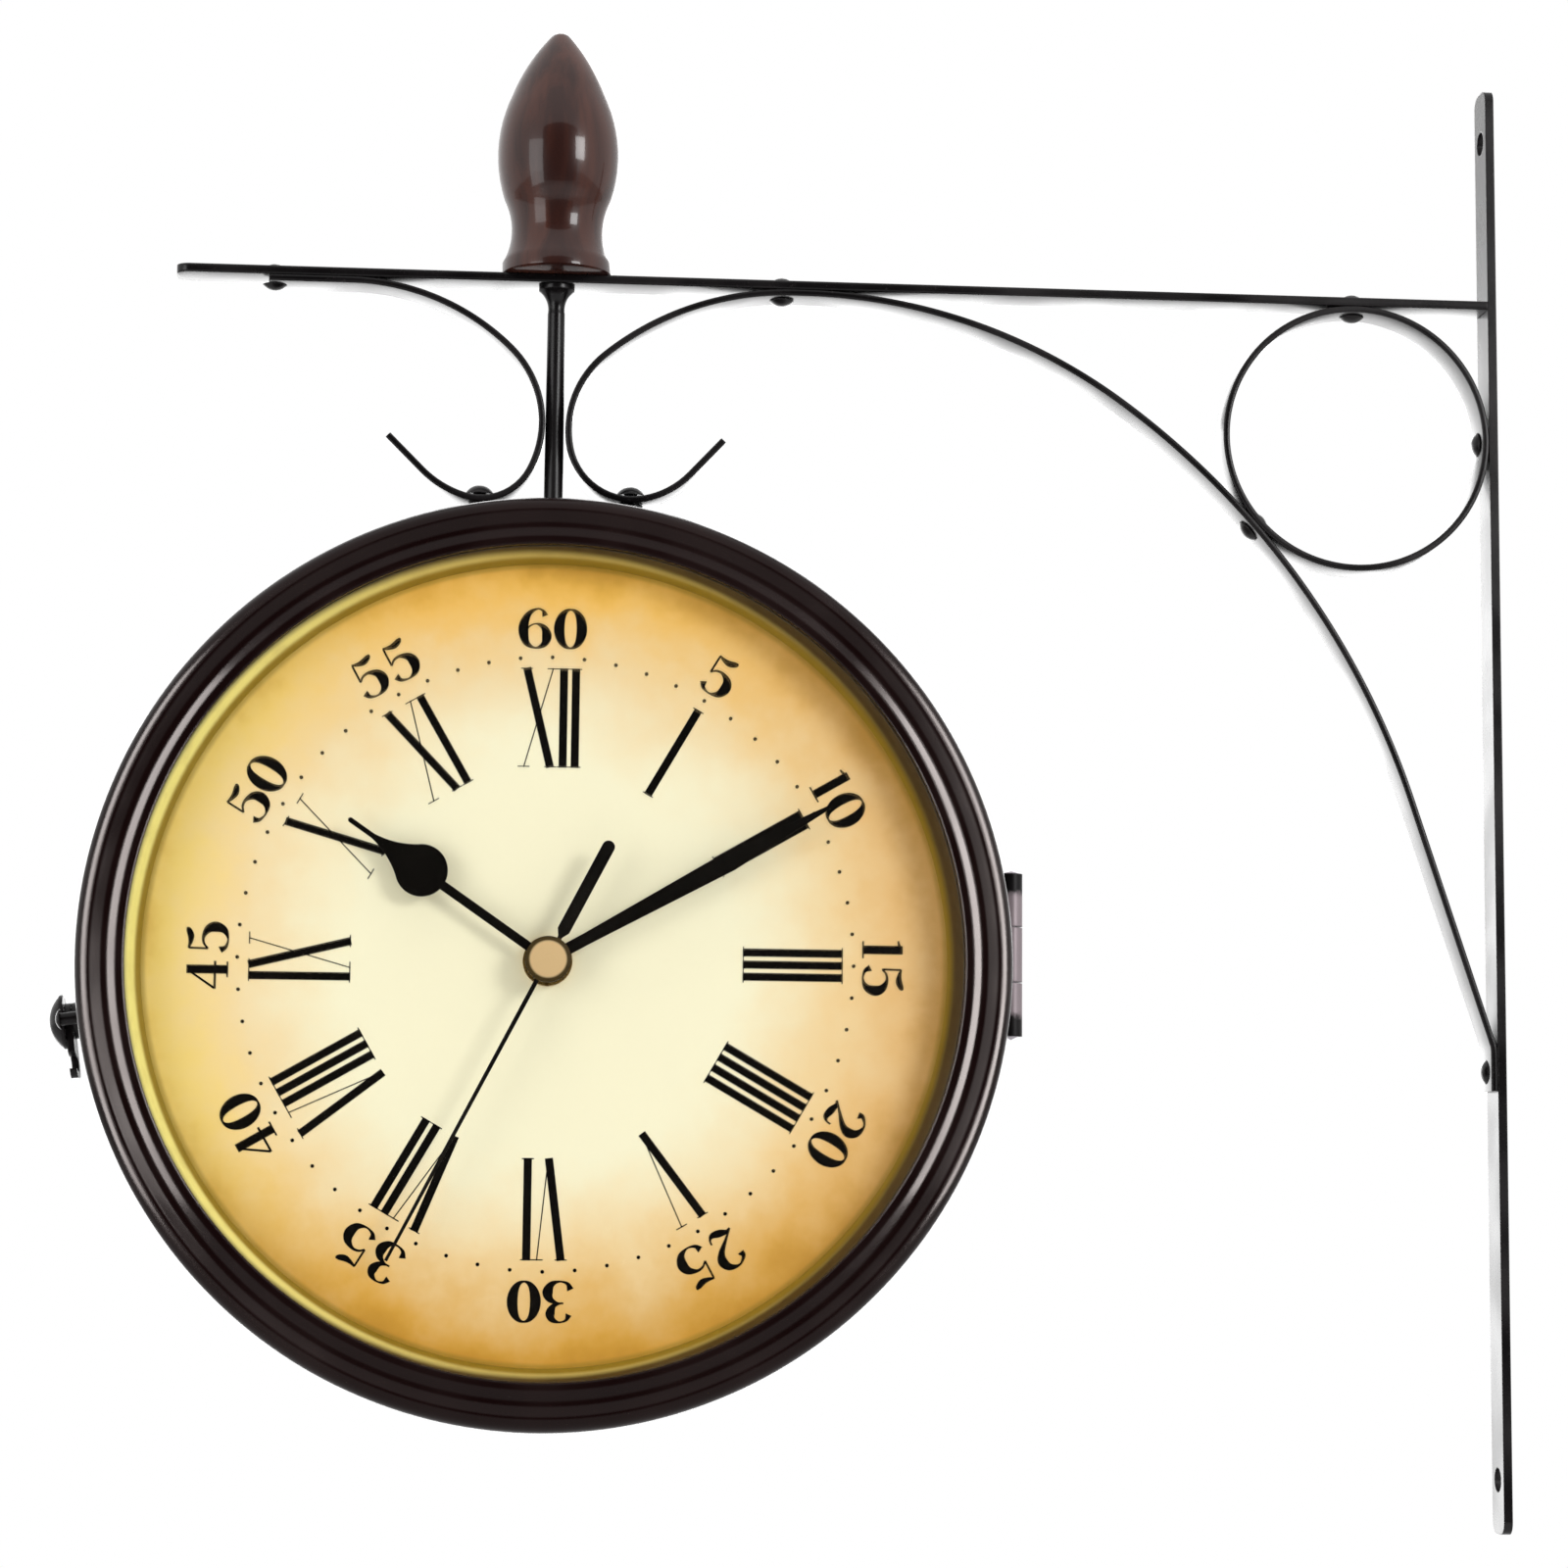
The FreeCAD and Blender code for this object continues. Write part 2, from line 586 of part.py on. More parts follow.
def left_scroll():
    start = (-LEFT_SCROLL_START - LEFT_SCROLL_LAP, STRIP_LINE)
    strip = flat_strip(start, 0, ((LEFT_SCROLL_LAP, 0),) + LEFT_SCROLL)
    holes = [strip_hole((-LEFT_RIVET, STRIP_LINE), Vector(0, 0, 1)),
             upright_hole(LEFT_LOW[0], SCROLL_SCREW_RADIUS + RIVET_GAP,
                          LEFT_LOW[1] - 2, LEFT_LOW[1] + 2)]
    return strip.cut(group(holes))


def ring():
    centre = (RING_X, RING_Z)
    back = -BAR_WIDTH / 2
    hoop = disc(RING_RADIUS, back, BAR_WIDTH, centre)
    hoop = hoop.cut(disc(RING_RADIUS - STRIP_THICK, back - 1, BAR_WIDTH + 2, centre))
    holes = []
    for bearing in (90, 0, RING_ARCH_BEARING):
        aim = polar(1, bearing)
        spot = polar(RING_RADIUS - STRIP_THICK / 2, bearing, centre)
        holes.append(strip_hole(spot, Vector(aim[0], 0, aim[1])))
    return hoop.cut(group(holes))


def bracket_rivets():
    up, right = Vector(0, 0, 1), Vector(1, 0, 0)
    under = ARM_HEIGHT - STRIP_THICK
    lap = BAR_THICK + STRIP_THICK
    inner = RING_RADIUS - STRIP_THICK
    aim = polar(1, RING_ARCH_BEARING)
    ring_start = polar(inner, RING_ARCH_BEARING, (RING_X, RING_Z))
    wall_start = BAR_FACE - STRIP_THICK
    return group([
        rivet(Vector(-LEFT_RIVET, 0, under), up, lap),
        rivet(Vector(ARCH_RIVET, 0, under), up, lap, RIVET_SLACK),
        rivet(Vector(RING_X, 0, under), up, lap, RIVET_SLACK),
        rivet(Vector(wall_start, 0, RING_Z), right, lap, RIVET_SLACK, flush=True),
        rivet(Vector(wall_start, 0, FOOT_RIVET_Z), right, lap, flush=True),
        rivet(Vector(ring_start[0], 0, ring_start[1]), Vector(aim[0], 0, aim[1]),
              2 * STRIP_THICK, RIVET_SLACK)])


def stem_tube():
    """Tapered tube with a flared collar under the top bar and a small foot."""
    bore = ROD_RADIUS + ROD_GAP
    foot_top = DRUM_RADIUS + STEM_FLANGE_HEIGHT
    neck = ARM_HEIGHT - STEM_COLLAR_HEIGHT
    flare = ("arc", (STEM_TOP_RADIUS + 0.5, neck + 0.55 * STEM_COLLAR_HEIGHT),
             (STEM_COLLAR_RADIUS, ARM_HEIGHT - 1))
    return turned_z([(bore, DRUM_RADIUS), (STEM_FLANGE_RADIUS, DRUM_RADIUS),
                     (STEM_FLANGE_RADIUS, foot_top - 1), (STEM_FOOT_RADIUS, foot_top),
                     (STEM_TOP_RADIUS, neck), flare, (STEM_COLLAR_RADIUS, ARM_HEIGHT),
                     (bore, ARM_HEIGHT)])


def inside_top(half_width, x=0.0):
    """Height at which a flat piece of that half width meets the drum's inside."""
    return math.sqrt(SKIRT_INNER ** 2 - (abs(x) + half_width) ** 2)


def tie_rod():
    low = inside_top(WASHER_RADIUS) - WASHER_THICK - NUT_HEIGHT - 1.5
    return rod(ROD_RADIUS, Vector(0, 0, low), Vector(0, 0, ARM_TOP + ROD_INTO_FINIAL))


def finial():
    bore = ROD_RADIUS + ROD_GAP
    deep = ROD_INTO_FINIAL + 1
    tip = FINIAL_HEIGHT - FINIAL_TIP_ROUND
    heights = [(bore, 0), (FINIAL_FOOT_RADIUS, 0), (FINIAL_FOOT_RADIUS, FINIAL_FOOT_HEIGHT),
               ("arc", (FINIAL_WAIST_RADIUS, FINIAL_WAIST_HEIGHT),
                (FINIAL_SHOULDER_RADIUS, FINIAL_SHOULDER_HEIGHT)),
               ("arc", (FINIAL_BELLY_RADIUS, FINIAL_BELLY_HEIGHT),
                (FINIAL_NECK_RADIUS, FINIAL_NECK_HEIGHT)),
               ("arc", (FINIAL_CROWN_RADIUS, FINIAL_CROWN_HEIGHT), (FINIAL_TIP_RADIUS, tip)),
               dome(FINIAL_TIP_RADIUS, FINIAL_TIP_ROUND, tip),
               (0, deep), (bore, deep)]
    raised = [tag_points(item, lambda p: (p[0], p[1] + ARM_TOP)) for item in heights]
    return turned_z(raised)


def hex_nut(flats, height, bore, x, top):
    points = [polar(flats / math.sqrt(3), 60 * side) for side in range(6)]
    corners = [Vector(x + across, along, top - height) for across, along in points]
    nut = Part.Face(Part.makePolygon(corners + corners[:1])).extrude(Vector(0, 0, height))
    return nut.cut(upright_hole(x, bore, top - height - 1, top + 1))


def inner_nuts():
    """Washer and nut on the tie rod, and a nut on each scroll screw."""
    seat = inside_top(WASHER_RADIUS)
    washer = rod(WASHER_RADIUS, Vector(0, 0, seat - WASHER_THICK), Vector(0, 0, seat))
    washer = washer.cut(upright_hole(0, ROD_RADIUS + ROD_GAP, seat - WASHER_THICK - 1, seat + 1))
    pieces = [washer, hex_nut(NUT_FLATS, NUT_HEIGHT, ROD_RADIUS, 0, seat - WASHER_THICK)]
    for low in (LEFT_LOW, RIGHT_LOW):
        top = inside_top(NUT_FLATS / math.sqrt(3), low[0])
        pieces.append(hex_nut(NUT_FLATS, NUT_HEIGHT, SCROLL_SCREW_RADIUS, low[0], top))
    return group(pieces)


def scroll_screws():
    """Screw and spacer under the bottom of each scroll, down into the drum."""
    pieces = []
    drum = disc(DRUM_RADIUS, -SPLIT_DEPTH, 2 * SPLIT_DEPTH)
    for low in (LEFT_LOW, RIGHT_LOW):
        x, z = low
        seat = z + STRIP_THICK / 2 + 3 * RIVET_SLACK
        end = inside_top(NUT_FLATS / math.sqrt(3), x) - NUT_HEIGHT - 1
        outline = [(0, end), (SCROLL_SCREW_RADIUS, end), (SCROLL_SCREW_RADIUS, seat),
                   (SCROLL_SCREW_HEAD, seat), dome(SCROLL_SCREW_HEAD, SCROLL_SCREW_HEAD_HEIGHT, seat)]
        pieces.append(turned_z(outline, x))
        under = z - STRIP_THICK / 2
        spacer = rod(SPACER_RADIUS, Vector(x, 0, DRUM_RADIUS - 3), Vector(x, 0, under))
        bore = upright_hole(x, SCROLL_SCREW_RADIUS + RIVET_GAP, DRUM_RADIUS - 4, under + 1)
        pieces.append(spacer.cut(bore).cut(drum))
    return group(pieces)


# ================================================================ case

def drum():
    """Sheet band between the two bezels, with an inner lip at each end."""
    edge, reach = SPLIT_DEPTH, SPLIT_DEPTH + SPIGOT_REACH
    root = SPLIT_DEPTH - SPIGOT_ROOT
    band = turned_y([(DRUM_RADIUS, -edge), (DRUM_RADIUS, edge), (SPIGOT_OUTER, edge),
                     (SPIGOT_OUTER, reach), (SPIGOT_INNER, reach), (SPIGOT_INNER, root),
                     (SKIRT_INNER, root), (SKIRT_INNER, -root), (SPIGOT_INNER, -root),
                     (SPIGOT_INNER, -reach), (SPIGOT_OUTER, -reach), (SPIGOT_OUTER, -edge)])
    low, high = SPIGOT_INNER - 5, DRUM_RADIUS + 5
    holes = [upright_hole(x, radius, low - 5, high) for x, radius in (
        (0, ROD_RADIUS + ROD_GAP), (LEFT_LOW[0], SCROLL_SCREW_RADIUS + RIVET_GAP),
        (RIGHT_LOW[0], SCROLL_SCREW_RADIUS + RIVET_GAP))]
    holes.append(round_the_drum(rod(LATCH_RIVET_RADIUS + RIVET_GAP,
                                    Vector(low, -LATCH_PIVOT_DEPTH, 0),
                                    Vector(high, -LATCH_PIVOT_DEPTH, 0)), LATCH_ANGLE))
    holes += bezel_screw_rods(BEZEL_SCREW_RADIUS + RIVET_GAP, low, high)
    return band.cut(group(holes))


def bezel_screw_rods(radius, low, high):
    """Round bars at the rear bezel's screws, for the screws and their holes."""
    line = rod(radius, Vector(low, BEZEL_SCREW_DEPTH, 0), Vector(high, BEZEL_SCREW_DEPTH, 0))
    return [round_the_drum(line, 45 + 360 / BEZEL_SCREW_COUNT * index)
            for index in range(BEZEL_SCREW_COUNT)]


def rear_bezel_screws():
    screws = []
    shank = SPIGOT_INNER - 1.5
    head = turned_z([(0, shank), (BEZEL_SCREW_RADIUS, shank), (BEZEL_SCREW_RADIUS, DRUM_RADIUS),
                     (BEZEL_SCREW_HEAD, DRUM_RADIUS), dome(BEZEL_SCREW_HEAD, 1.1, DRUM_RADIUS)])
    head = turn(head, 90, Vector(0, 1, 0))
    head.translate(Vector(0, BEZEL_SCREW_DEPTH, 0))
    for index in range(BEZEL_SCREW_COUNT):
        screws.append(round_the_drum(head, 45 + 360 / BEZEL_SCREW_COUNT * index))
    return group(screws)


def bezel():
    """Pressed ring: outer roll, groove and inner bead, with a skirt and dial tabs."""
    front = HALF_THICK
    tab_back = DIAL_BACK - DIAL_THICK
    groove = front - GROOVE_DEPTH
    shoulder = front - ROLL_SHOULDER
    roll_back = front - ROLL_LENGTH
    hollow = SHEET + 0.2
    outline = [
        (GLASS_SEAT, tab_back), (GLASS_SEAT, GLASS_FRONT), (OPENING_RADIUS, GLASS_FRONT),
        (OPENING_RADIUS, GLASS_FRONT + LIP_THICK),
        ("arc", (BEAD_RADIUS, front - 0.3), (GROOVE_RADIUS, groove)),
        ("arc", (ROLL_RADIUS - 1.6, front - 0.4), (ROLL_RADIUS, front)),
        ("arc", (BEZEL_RADIUS - 1.0, front - 1.5), (BEZEL_RADIUS, shoulder)),
        (BEZEL_RADIUS, roll_back + 1), (DRUM_RADIUS, roll_back), (DRUM_RADIUS, SPLIT),
        (SKIRT_INNER, SPLIT), (SKIRT_INNER, shoulder + 0.7), (ROLL_RADIUS, front - hollow),
        (GLASS_SEAT + 2 * SHEET, groove - 0.2), (GLASS_SEAT + SHEET, groove - hollow),
        (GLASS_SEAT + SHEET, tab_back)]
    flipped = [tag_points(item, lambda p: (p[0], -p[1])) for item in outline]
    ring_shape = turned_y(flipped)
    tabs = []
    for index in range(TAB_COUNT):
        tab = box(GLASS_SEAT - TAB_LENGTH, GLASS_SEAT + SHEET / 2, -DIAL_BACK, -tab_back,
                  -TAB_WIDTH / 2, TAB_WIDTH / 2)
        tabs.append(round_the_drum(tab, 30 + 360 / TAB_COUNT * index))
    return fuse([ring_shape] + tabs)


def front_bezel():
    stud_hole = rod(STUD_RADIUS, Vector(SKIRT_INNER - 2, -LATCH_STUD_DEPTH, 0),
                    Vector(DRUM_RADIUS + 2, -LATCH_STUD_DEPTH, 0))
    return bezel().cut(round_the_drum(stud_hole, LATCH_ANGLE))


def rear_bezel():
    holes = bezel_screw_rods(BEZEL_SCREW_RADIUS + RIVET_GAP, SKIRT_INNER - 2, DRUM_RADIUS + 2)
    return to_rear(bezel()).cut(group(holes))


def glass():
    return disc(GLASS_RADIUS, GLASS_BACK, GLASS_THICK)


def reveal_ring():
    """Sloping ring that holds the glass off the dial."""
    return turned_y([(REVEAL_FOOT_RADIUS, -DIAL_DEPTH), (GLASS_RADIUS, -DIAL_DEPTH),
                     (GLASS_RADIUS, -GLASS_BACK), (OPENING_RADIUS, -GLASS_BACK)])


def dial():
    hole = disc(NECK_RADIUS + NECK_GAP, DIAL_BACK - 1, DIAL_THICK + 2)
    return disc(GLASS_RADIUS, DIAL_BACK, DIAL_THICK).cut(hole)


def rim_plate(y0, y1, length, thick):
    """Curved plate lying on the drum's right side."""
    low, high = min(y0, y1), max(y0, y1)
    outer = Part.makeCylinder(DRUM_RADIUS + thick, high - low, Vector(0, low, 0), Vector(0, 1, 0))
    inner = Part.makeCylinder(DRUM_RADIUS, high - low + 2, Vector(0, low - 1, 0), Vector(0, 1, 0))
    window = box(0, DRUM_RADIUS + 9, low - 1, high + 1, -length / 2, length / 2)
    return outer.cut(inner).common(window)


def barrel(radius, low, high):
    start = Vector(HINGE_AXIS, -HINGE_DEPTH, HINGE_MIDDLE + low)
    return rod(radius, start, start + Vector(0, 0, high - low))


KNUCKLES_FIXED = ((-BARREL_LENGTH / 2, -KNUCKLE_LENGTH / 2 - KNUCKLE_GAP),
                  (KNUCKLE_LENGTH / 2 + KNUCKLE_GAP, BARREL_LENGTH / 2))
KNUCKLES_DOOR = ((-KNUCKLE_LENGTH / 2, KNUCKLE_LENGTH / 2),)


def hinge_leaf(side, width, knuckles, others, pin_gap):
    """Leaf on the drum (side 1) or on the door (side -1), with its knuckles."""
    edge = -HINGE_DEPTH + side * 2 * KNUCKLE_GAP
    leaf = rim_plate(edge, edge + side * width, LEAF_LENGTH, LEAF_THICK)
    leaf = round_the_drum(leaf, math.degrees(math.asin(HINGE_MIDDLE / DRUM_RADIUS)))
    room = [barrel(BARREL_RADIUS + LEAF_CLEARANCE, low - KNUCKLE_GAP / 2, high + KNUCKLE_GAP / 2)
            for low, high in others]
    solid = leaf.cut(group(room))
    skin = Part.makeCylinder(DRUM_RADIUS, 2 * CLOCK_THICK, Vector(0, -CLOCK_THICK, 0),
                             Vector(0, 1, 0))
    for low, high in knuckles:
        y0, y1 = sorted((edge, edge + side * 4))
        web = box(DRUM_RADIUS - 4, HINGE_AXIS, y0, y1, HINGE_MIDDLE + low, HINGE_MIDDLE + high)
        solid = solid.fuse(fuse([barrel(BARREL_RADIUS, low, high), web]).cut(skin))
    bore = barrel(HINGE_PIN_RADIUS + pin_gap, -BARREL_LENGTH, BARREL_LENGTH)
    return solid.cut(bore).removeSplitter()


def hinge_leaf_fixed():
    return hinge_leaf(1, LEAF_FIXED_WIDTH, KNUCKLES_FIXED, KNUCKLES_DOOR, 0)


def hinge_leaf_door():
    return hinge_leaf(-1, LEAF_DOOR_WIDTH, KNUCKLES_DOOR, KNUCKLES_FIXED, PIN_RUNNING_GAP)


def hinge_pin():
    half = BARREL_LENGTH / 2
    low, high = HINGE_MIDDLE - half, HINGE_MIDDLE + half
    cap = HINGE_PIN_RADIUS + 0.7
    pin = turned_z([(0, low - 0.8), (cap, low), (HINGE_PIN_RADIUS, low), (HINGE_PIN_RADIUS, high),
                    (cap, high), dome(cap, 0.8, high)])
    pin.translate(Vector(HINGE_AXIS, -HINGE_DEPTH, 0))
    return pin


# The latch is drawn at the drum's right side and carried round to its place
HOOK_BACK = DRUM_RADIUS + LATCH_PLATE_THICK + LATCH_BOSS_HEIGHT + LATCH_SIDE_GAP
HOOK_FRONT = HOOK_BACK + LATCH_HOOK_THICK


def latch_plate():
    middle = -LATCH_PIVOT_DEPTH
    half = LATCH_PLATE_WIDTH / 2
    base = rim_plate(middle - half, middle + half, LATCH_PLATE_LENGTH, LATCH_PLATE_THICK)
    boss = rod(LATCH_BOSS_RADIUS, Vector(DRUM_RADIUS + 0.5, middle, 0),
               Vector(HOOK_BACK - LATCH_SIDE_GAP, middle, 0))
    hole = rod(LATCH_RIVET_RADIUS + RIVET_GAP, Vector(DRUM_RADIUS - 2, middle, 0),
               Vector(HOOK_FRONT, middle, 0))
    return round_the_drum(fuse([base, boss]).cut(hole), LATCH_ANGLE)


def latch_rivet():
    """Dome-headed pivot, its tail closed over inside the drum."""
    seat = HOOK_FRONT + LATCH_SIDE_GAP
    inside = SKIRT_INNER - RIVET_SLACK
    tail = 2.4
    outline = [(0, inside - 1.2), (tail, inside - 1.2), (tail, inside), (LATCH_RIVET_RADIUS, inside),
               (LATCH_RIVET_RADIUS, seat), (LATCH_DOME_RADIUS, seat),
               (LATCH_DOME_RADIUS, seat + 0.8),
               dome(LATCH_DOME_RADIUS, LATCH_DOME_HEIGHT - 0.8, seat + 0.8)]
    pin = turn(turned_z(outline), 90, Vector(0, 1, 0))
    pin.translate(Vector(0, -LATCH_PIVOT_DEPTH, 0))
    return round_the_drum(pin, LATCH_ANGLE)


def latch_hook():
    """Hanging lever with a notch that swings over the door's stud."""
    reach = LATCH_PIVOT_DEPTH - LATCH_STUD_DEPTH
    slot = STUD_RADIUS + STUD_GAP
    half = LATCH_HOOK_WIDTH / 2
    pivot = Vector(HOOK_BACK, -LATCH_PIVOT_DEPTH, 0)
    out = Vector(LATCH_HOOK_THICK, 0, 0)

    def round_bar(radius, along=0.0):
        return rod(radius, pivot + Vector(0, 0, along), pivot + Vector(0, 0, along) + out)

    blank = box(HOOK_BACK, HOOK_FRONT, pivot.y - half, pivot.y + half, 0, LATCH_HOOK_LENGTH)
    corners = [edge for edge in blank.Edges
               if abs(edge.tangentAt(0).x) > 0.9 and edge.CenterOfMass.z > 1]
    blank = fuse([blank.makeFillet(half * 0.6, corners), round_bar(half)])
    sweep = round_bar(-reach + slot).cut(round_bar(-reach - slot))
    sweep = sweep.common(box(HOOK_BACK - 1, HOOK_FRONT + 1, pivot.y - 2 * LATCH_HOOK_LENGTH, pivot.y,
                             0, 2 * LATCH_HOOK_LENGTH))
    bore = round_bar(LATCH_RIVET_RADIUS + LATCH_RUNNING_GAP)
    notch = group([sweep, round_bar(slot, -reach), bore])
    return round_the_drum(blank.cut(notch), LATCH_ANGLE)


def latch_stud():
    """Headed stud on the door's skirt, finished flush inside."""
    seat = HOOK_FRONT + LATCH_SIDE_GAP + 0.2
    outline = [(0, SKIRT_INNER), (STUD_RADIUS, SKIRT_INNER), (STUD_RADIUS, seat),
               (STUD_HEAD_RADIUS, seat), dome(STUD_HEAD_RADIUS, 1.1, seat)]
    stud = turn(turned_z(outline), 90, Vector(0, 1, 0))
    stud.translate(Vector(0, -LATCH_STUD_DEPTH, 0))
    return round_the_drum(stud, LATCH_ANGLE)


# ================================================================ movement

def arbor(at, back=None, front=None, radius=PIVOT_RADIUS):
    """Shaft along y. By default its ends sit in the blind holes of the case."""
    back = CASE_INSIDE_BACK - PIVOT_DEEP if back is None else back
    front = CASE_INSIDE_FRONT + PIVOT_DEEP if front is None else front
    return disc(radius, back, front - back, at)


def blind_hole(at, face, towards):
    """Bearing hole for an arbor's end, 0.2 deeper than the end reaches."""
    deep = PIVOT_DEEP + 0.2
    back = face if towards > 0 else face - deep
    return disc(PIVOT_RADIUS + PIVOT_GAP, back, deep, at)


def movement_case():
    """Plastic box with a threaded neck, an open back and a battery bay."""
    half, inner = CASE_HALF, CASE_HALF - MOVEMENT_WALL
    shell = box(-half, half, -CASE_FRONT, -CASE_BACK, -half, half)
    shell = shell.cut(box(-inner, inner, -CASE_INSIDE_FRONT, -CASE_BACK + 1, -inner, inner))
    shelf = box(-inner - 0.5, inner + 0.5, -CASE_INSIDE_FRONT - 0.5, -CASE_INSIDE_BACK,
                BAY_TOP, BAY_TOP + MOVEMENT_WALL * 0.8)
    neck = disc(NECK_RADIUS, CASE_FRONT - 0.5, NECK_LENGTH + 0.5)
    stud_back = LAYER_MINUTE - 0.15
    stud = disc(MINUTE_STUD_RADIUS, stud_back, CASE_INSIDE_FRONT + 0.5 - stud_back, MINUTE_AT)
    posts = [disc(1.5, stator_front(), CASE_INSIDE_FRONT + 0.5 - stator_front(), at)
             for at in stator_posts()]
    body = fuse([shell, shelf, neck, stud] + posts)
    holes = [blind_hole(at, CASE_INSIDE_FRONT, 1) for at in (THIRD_AT, INTERMEDIATE_AT, ROTOR_AT,
                                                            SET_AT)]
    bore = disc(HOUR_PIPE_RADIUS + PIPE_GAP, CASE_INSIDE_FRONT - 1, NECK_LENGTH + 5)
    return body.cut(group(holes + [bore]))


def movement_back():
    """Cover over the train, with the bearings and a hole for the setting knob."""
    inner = CASE_HALF - MOVEMENT_WALL - 0.1
    cover = box(-inner, inner, -CASE_INSIDE_BACK, -CASE_BACK, BAY_TOP, inner)
    holes = [blind_hole(at, CASE_INSIDE_BACK, -1)
             for at in ((0, 0), THIRD_AT, INTERMEDIATE_AT, ROTOR_AT)]
    holes.append(disc(PIVOT_RADIUS + PIVOT_GAP, CASE_BACK - 1, MOVEMENT_WALL + 2, SET_AT))
    return cover.cut(group(holes))


def neck_nut():
    nut = disc(NECK_NUT_RADIUS, DIAL_DEPTH, NECK_NUT_HEIGHT)
    slots = [box(-NECK_NUT_RADIUS, NECK_NUT_RADIUS, -DIAL_DEPTH - NECK_NUT_HEIGHT - 1,
                 -DIAL_DEPTH - NECK_NUT_HEIGHT / 2, -0.5, 0.5)]
    slots.append(turn(slots[0], 90, Vector(0, 1, 0)))
    bore = disc(NECK_RADIUS + NECK_GAP / 2, DIAL_DEPTH - 1, NECK_NUT_HEIGHT + 2)
    return nut.cut(group(slots + [bore]))


def battery():
    axis_y = -(CASE_INSIDE_FRONT - BATTERY_GAP / 2 - BATTERY_RADIUS)
    half = BATTERY_LENGTH / 2
    cell = rod(BATTERY_RADIUS, Vector(-half, axis_y, BATTERY_AXIS),
               Vector(half - 1.2, axis_y, BATTERY_AXIS))
    cap = rod(BATTERY_RADIUS * 0.38, Vector(half - 2, axis_y, BATTERY_AXIS),
              Vector(half, axis_y, BATTERY_AXIS))
    return fuse([cell, cap])


def stator_back():
    return LAYER_SECOND + 0.2


def stator_front():
    return stator_back() + STATOR_THICK


def stator_posts():
    """Places of the two studs that the stator's legs are fixed to."""
    x, z = ROTOR_AT
    reach, rise = STATOR_HALF + STATOR_LEG / 2, (COIL_RISE + STATOR_RISE) / 2
    return (x - reach, z + rise), (x + reach, z + rise)


def motor_coil():
    """Stator plate round the rotor, and the coil on its core between the legs."""
    x, z = ROTOR_AT
    back, front = stator_back(), stator_front()
    half, full = STATOR_HALF, STATOR_HALF + STATOR_LEG
    core = box(x - full, x + full, -front, -back, z + COIL_RISE - 1, z + COIL_RISE + 1)
    parts = [box(x - half, x + half, -front, -back, z - half, z + half),
             box(x - full, x - half, -front, -back, z, z + STATOR_RISE),
             box(x + half, x + full, -front, -back, z, z + STATOR_RISE), core]
    bore = disc(MAGNET_RADIUS + STATOR_GAP, back - 1, STATOR_THICK + 2, ROTOR_AT)
    middle = -(back + front) / 2
    coil = rod(COIL_RADIUS, Vector(x - half, middle, z + COIL_RISE),
               Vector(x + half, middle, z + COIL_RISE))
    return group([fuse(parts).cut(bore), coil.cut(core)])


def rotor(phase):
    magnet_back = LAYER_SECOND - 0.6
    pinion = gear(ROTOR_TEETH, MODULE_FINE, LAYER_STEP - PINION_LAP, PINION_THICK, phase, ROTOR_AT)
    magnet = disc(MAGNET_RADIUS, magnet_back, MAGNET_HEIGHT, ROTOR_AT)
    return fuse([arbor(ROTOR_AT), pinion, magnet])


def intermediate_wheel(phase, pinion_phase):
    at = INTERMEDIATE_AT
    wheel = gear(INTERMEDIATE_TEETH, MODULE_FINE, LAYER_STEP, WHEEL_THICK, phase, at)
    pinion = gear(INTERMEDIATE_PINION_TEETH, MODULE_STEP, LAYER_SECOND - PINION_LAP, PINION_THICK,
                  pinion_phase, at)
    return fuse([arbor(at), wheel, pinion])


def second_wheel(phase, pinion_phase):
    """Second wheel and pinion on the long pin that carries the second hand."""
    pin = arbor((0, 0), front=SECOND_HAND_DEPTH + HAND_THICK, radius=PIVOT_RADIUS)
    wheel = gear(SECOND_TEETH, MODULE_STEP, LAYER_SECOND, WHEEL_THICK, phase)
    pinion = gear(SECOND_PINION_TEETH, MODULE_FINE, LAYER_THIRD - PINION_LAP, PINION_THICK,
                  pinion_phase)
    return fuse([pin, wheel, pinion])


def third_wheel(phase, pinion_phase):
    wheel = gear(THIRD_TEETH, MODULE_FINE, LAYER_THIRD, WHEEL_THICK, phase, THIRD_AT)
    pinion = gear(THIRD_PINION_TEETH, MODULE_CENTRE, LAYER_CENTRE - PINION_LAP, PINION_THICK,
                  pinion_phase, THIRD_AT)
    return fuse([arbor(THIRD_AT), wheel, pinion])


def centre_wheel(phase, cannon_phase):
    """Centre wheel and cannon pinion on the pipe that carries the minute hand."""
    back = LAYER_CENTRE - 0.4
    front = MINUTE_HAND_DEPTH + HAND_THICK + 0.3
    pipe = disc(MINUTE_PIPE_RADIUS, back, front - back)
    wheel = gear(CENTRE_TEETH, MODULE_CENTRE, LAYER_CENTRE, WHEEL_THICK, phase)
    cannon = gear(CANNON_TEETH, MODULE_FINE, LAYER_MINUTE - PINION_LAP, PINION_THICK, cannon_phase)
    bore = disc(PIVOT_RADIUS + PIPE_GAP, back - 1, front - back + 2)
    return fuse([pipe, wheel, cannon]).cut(bore)


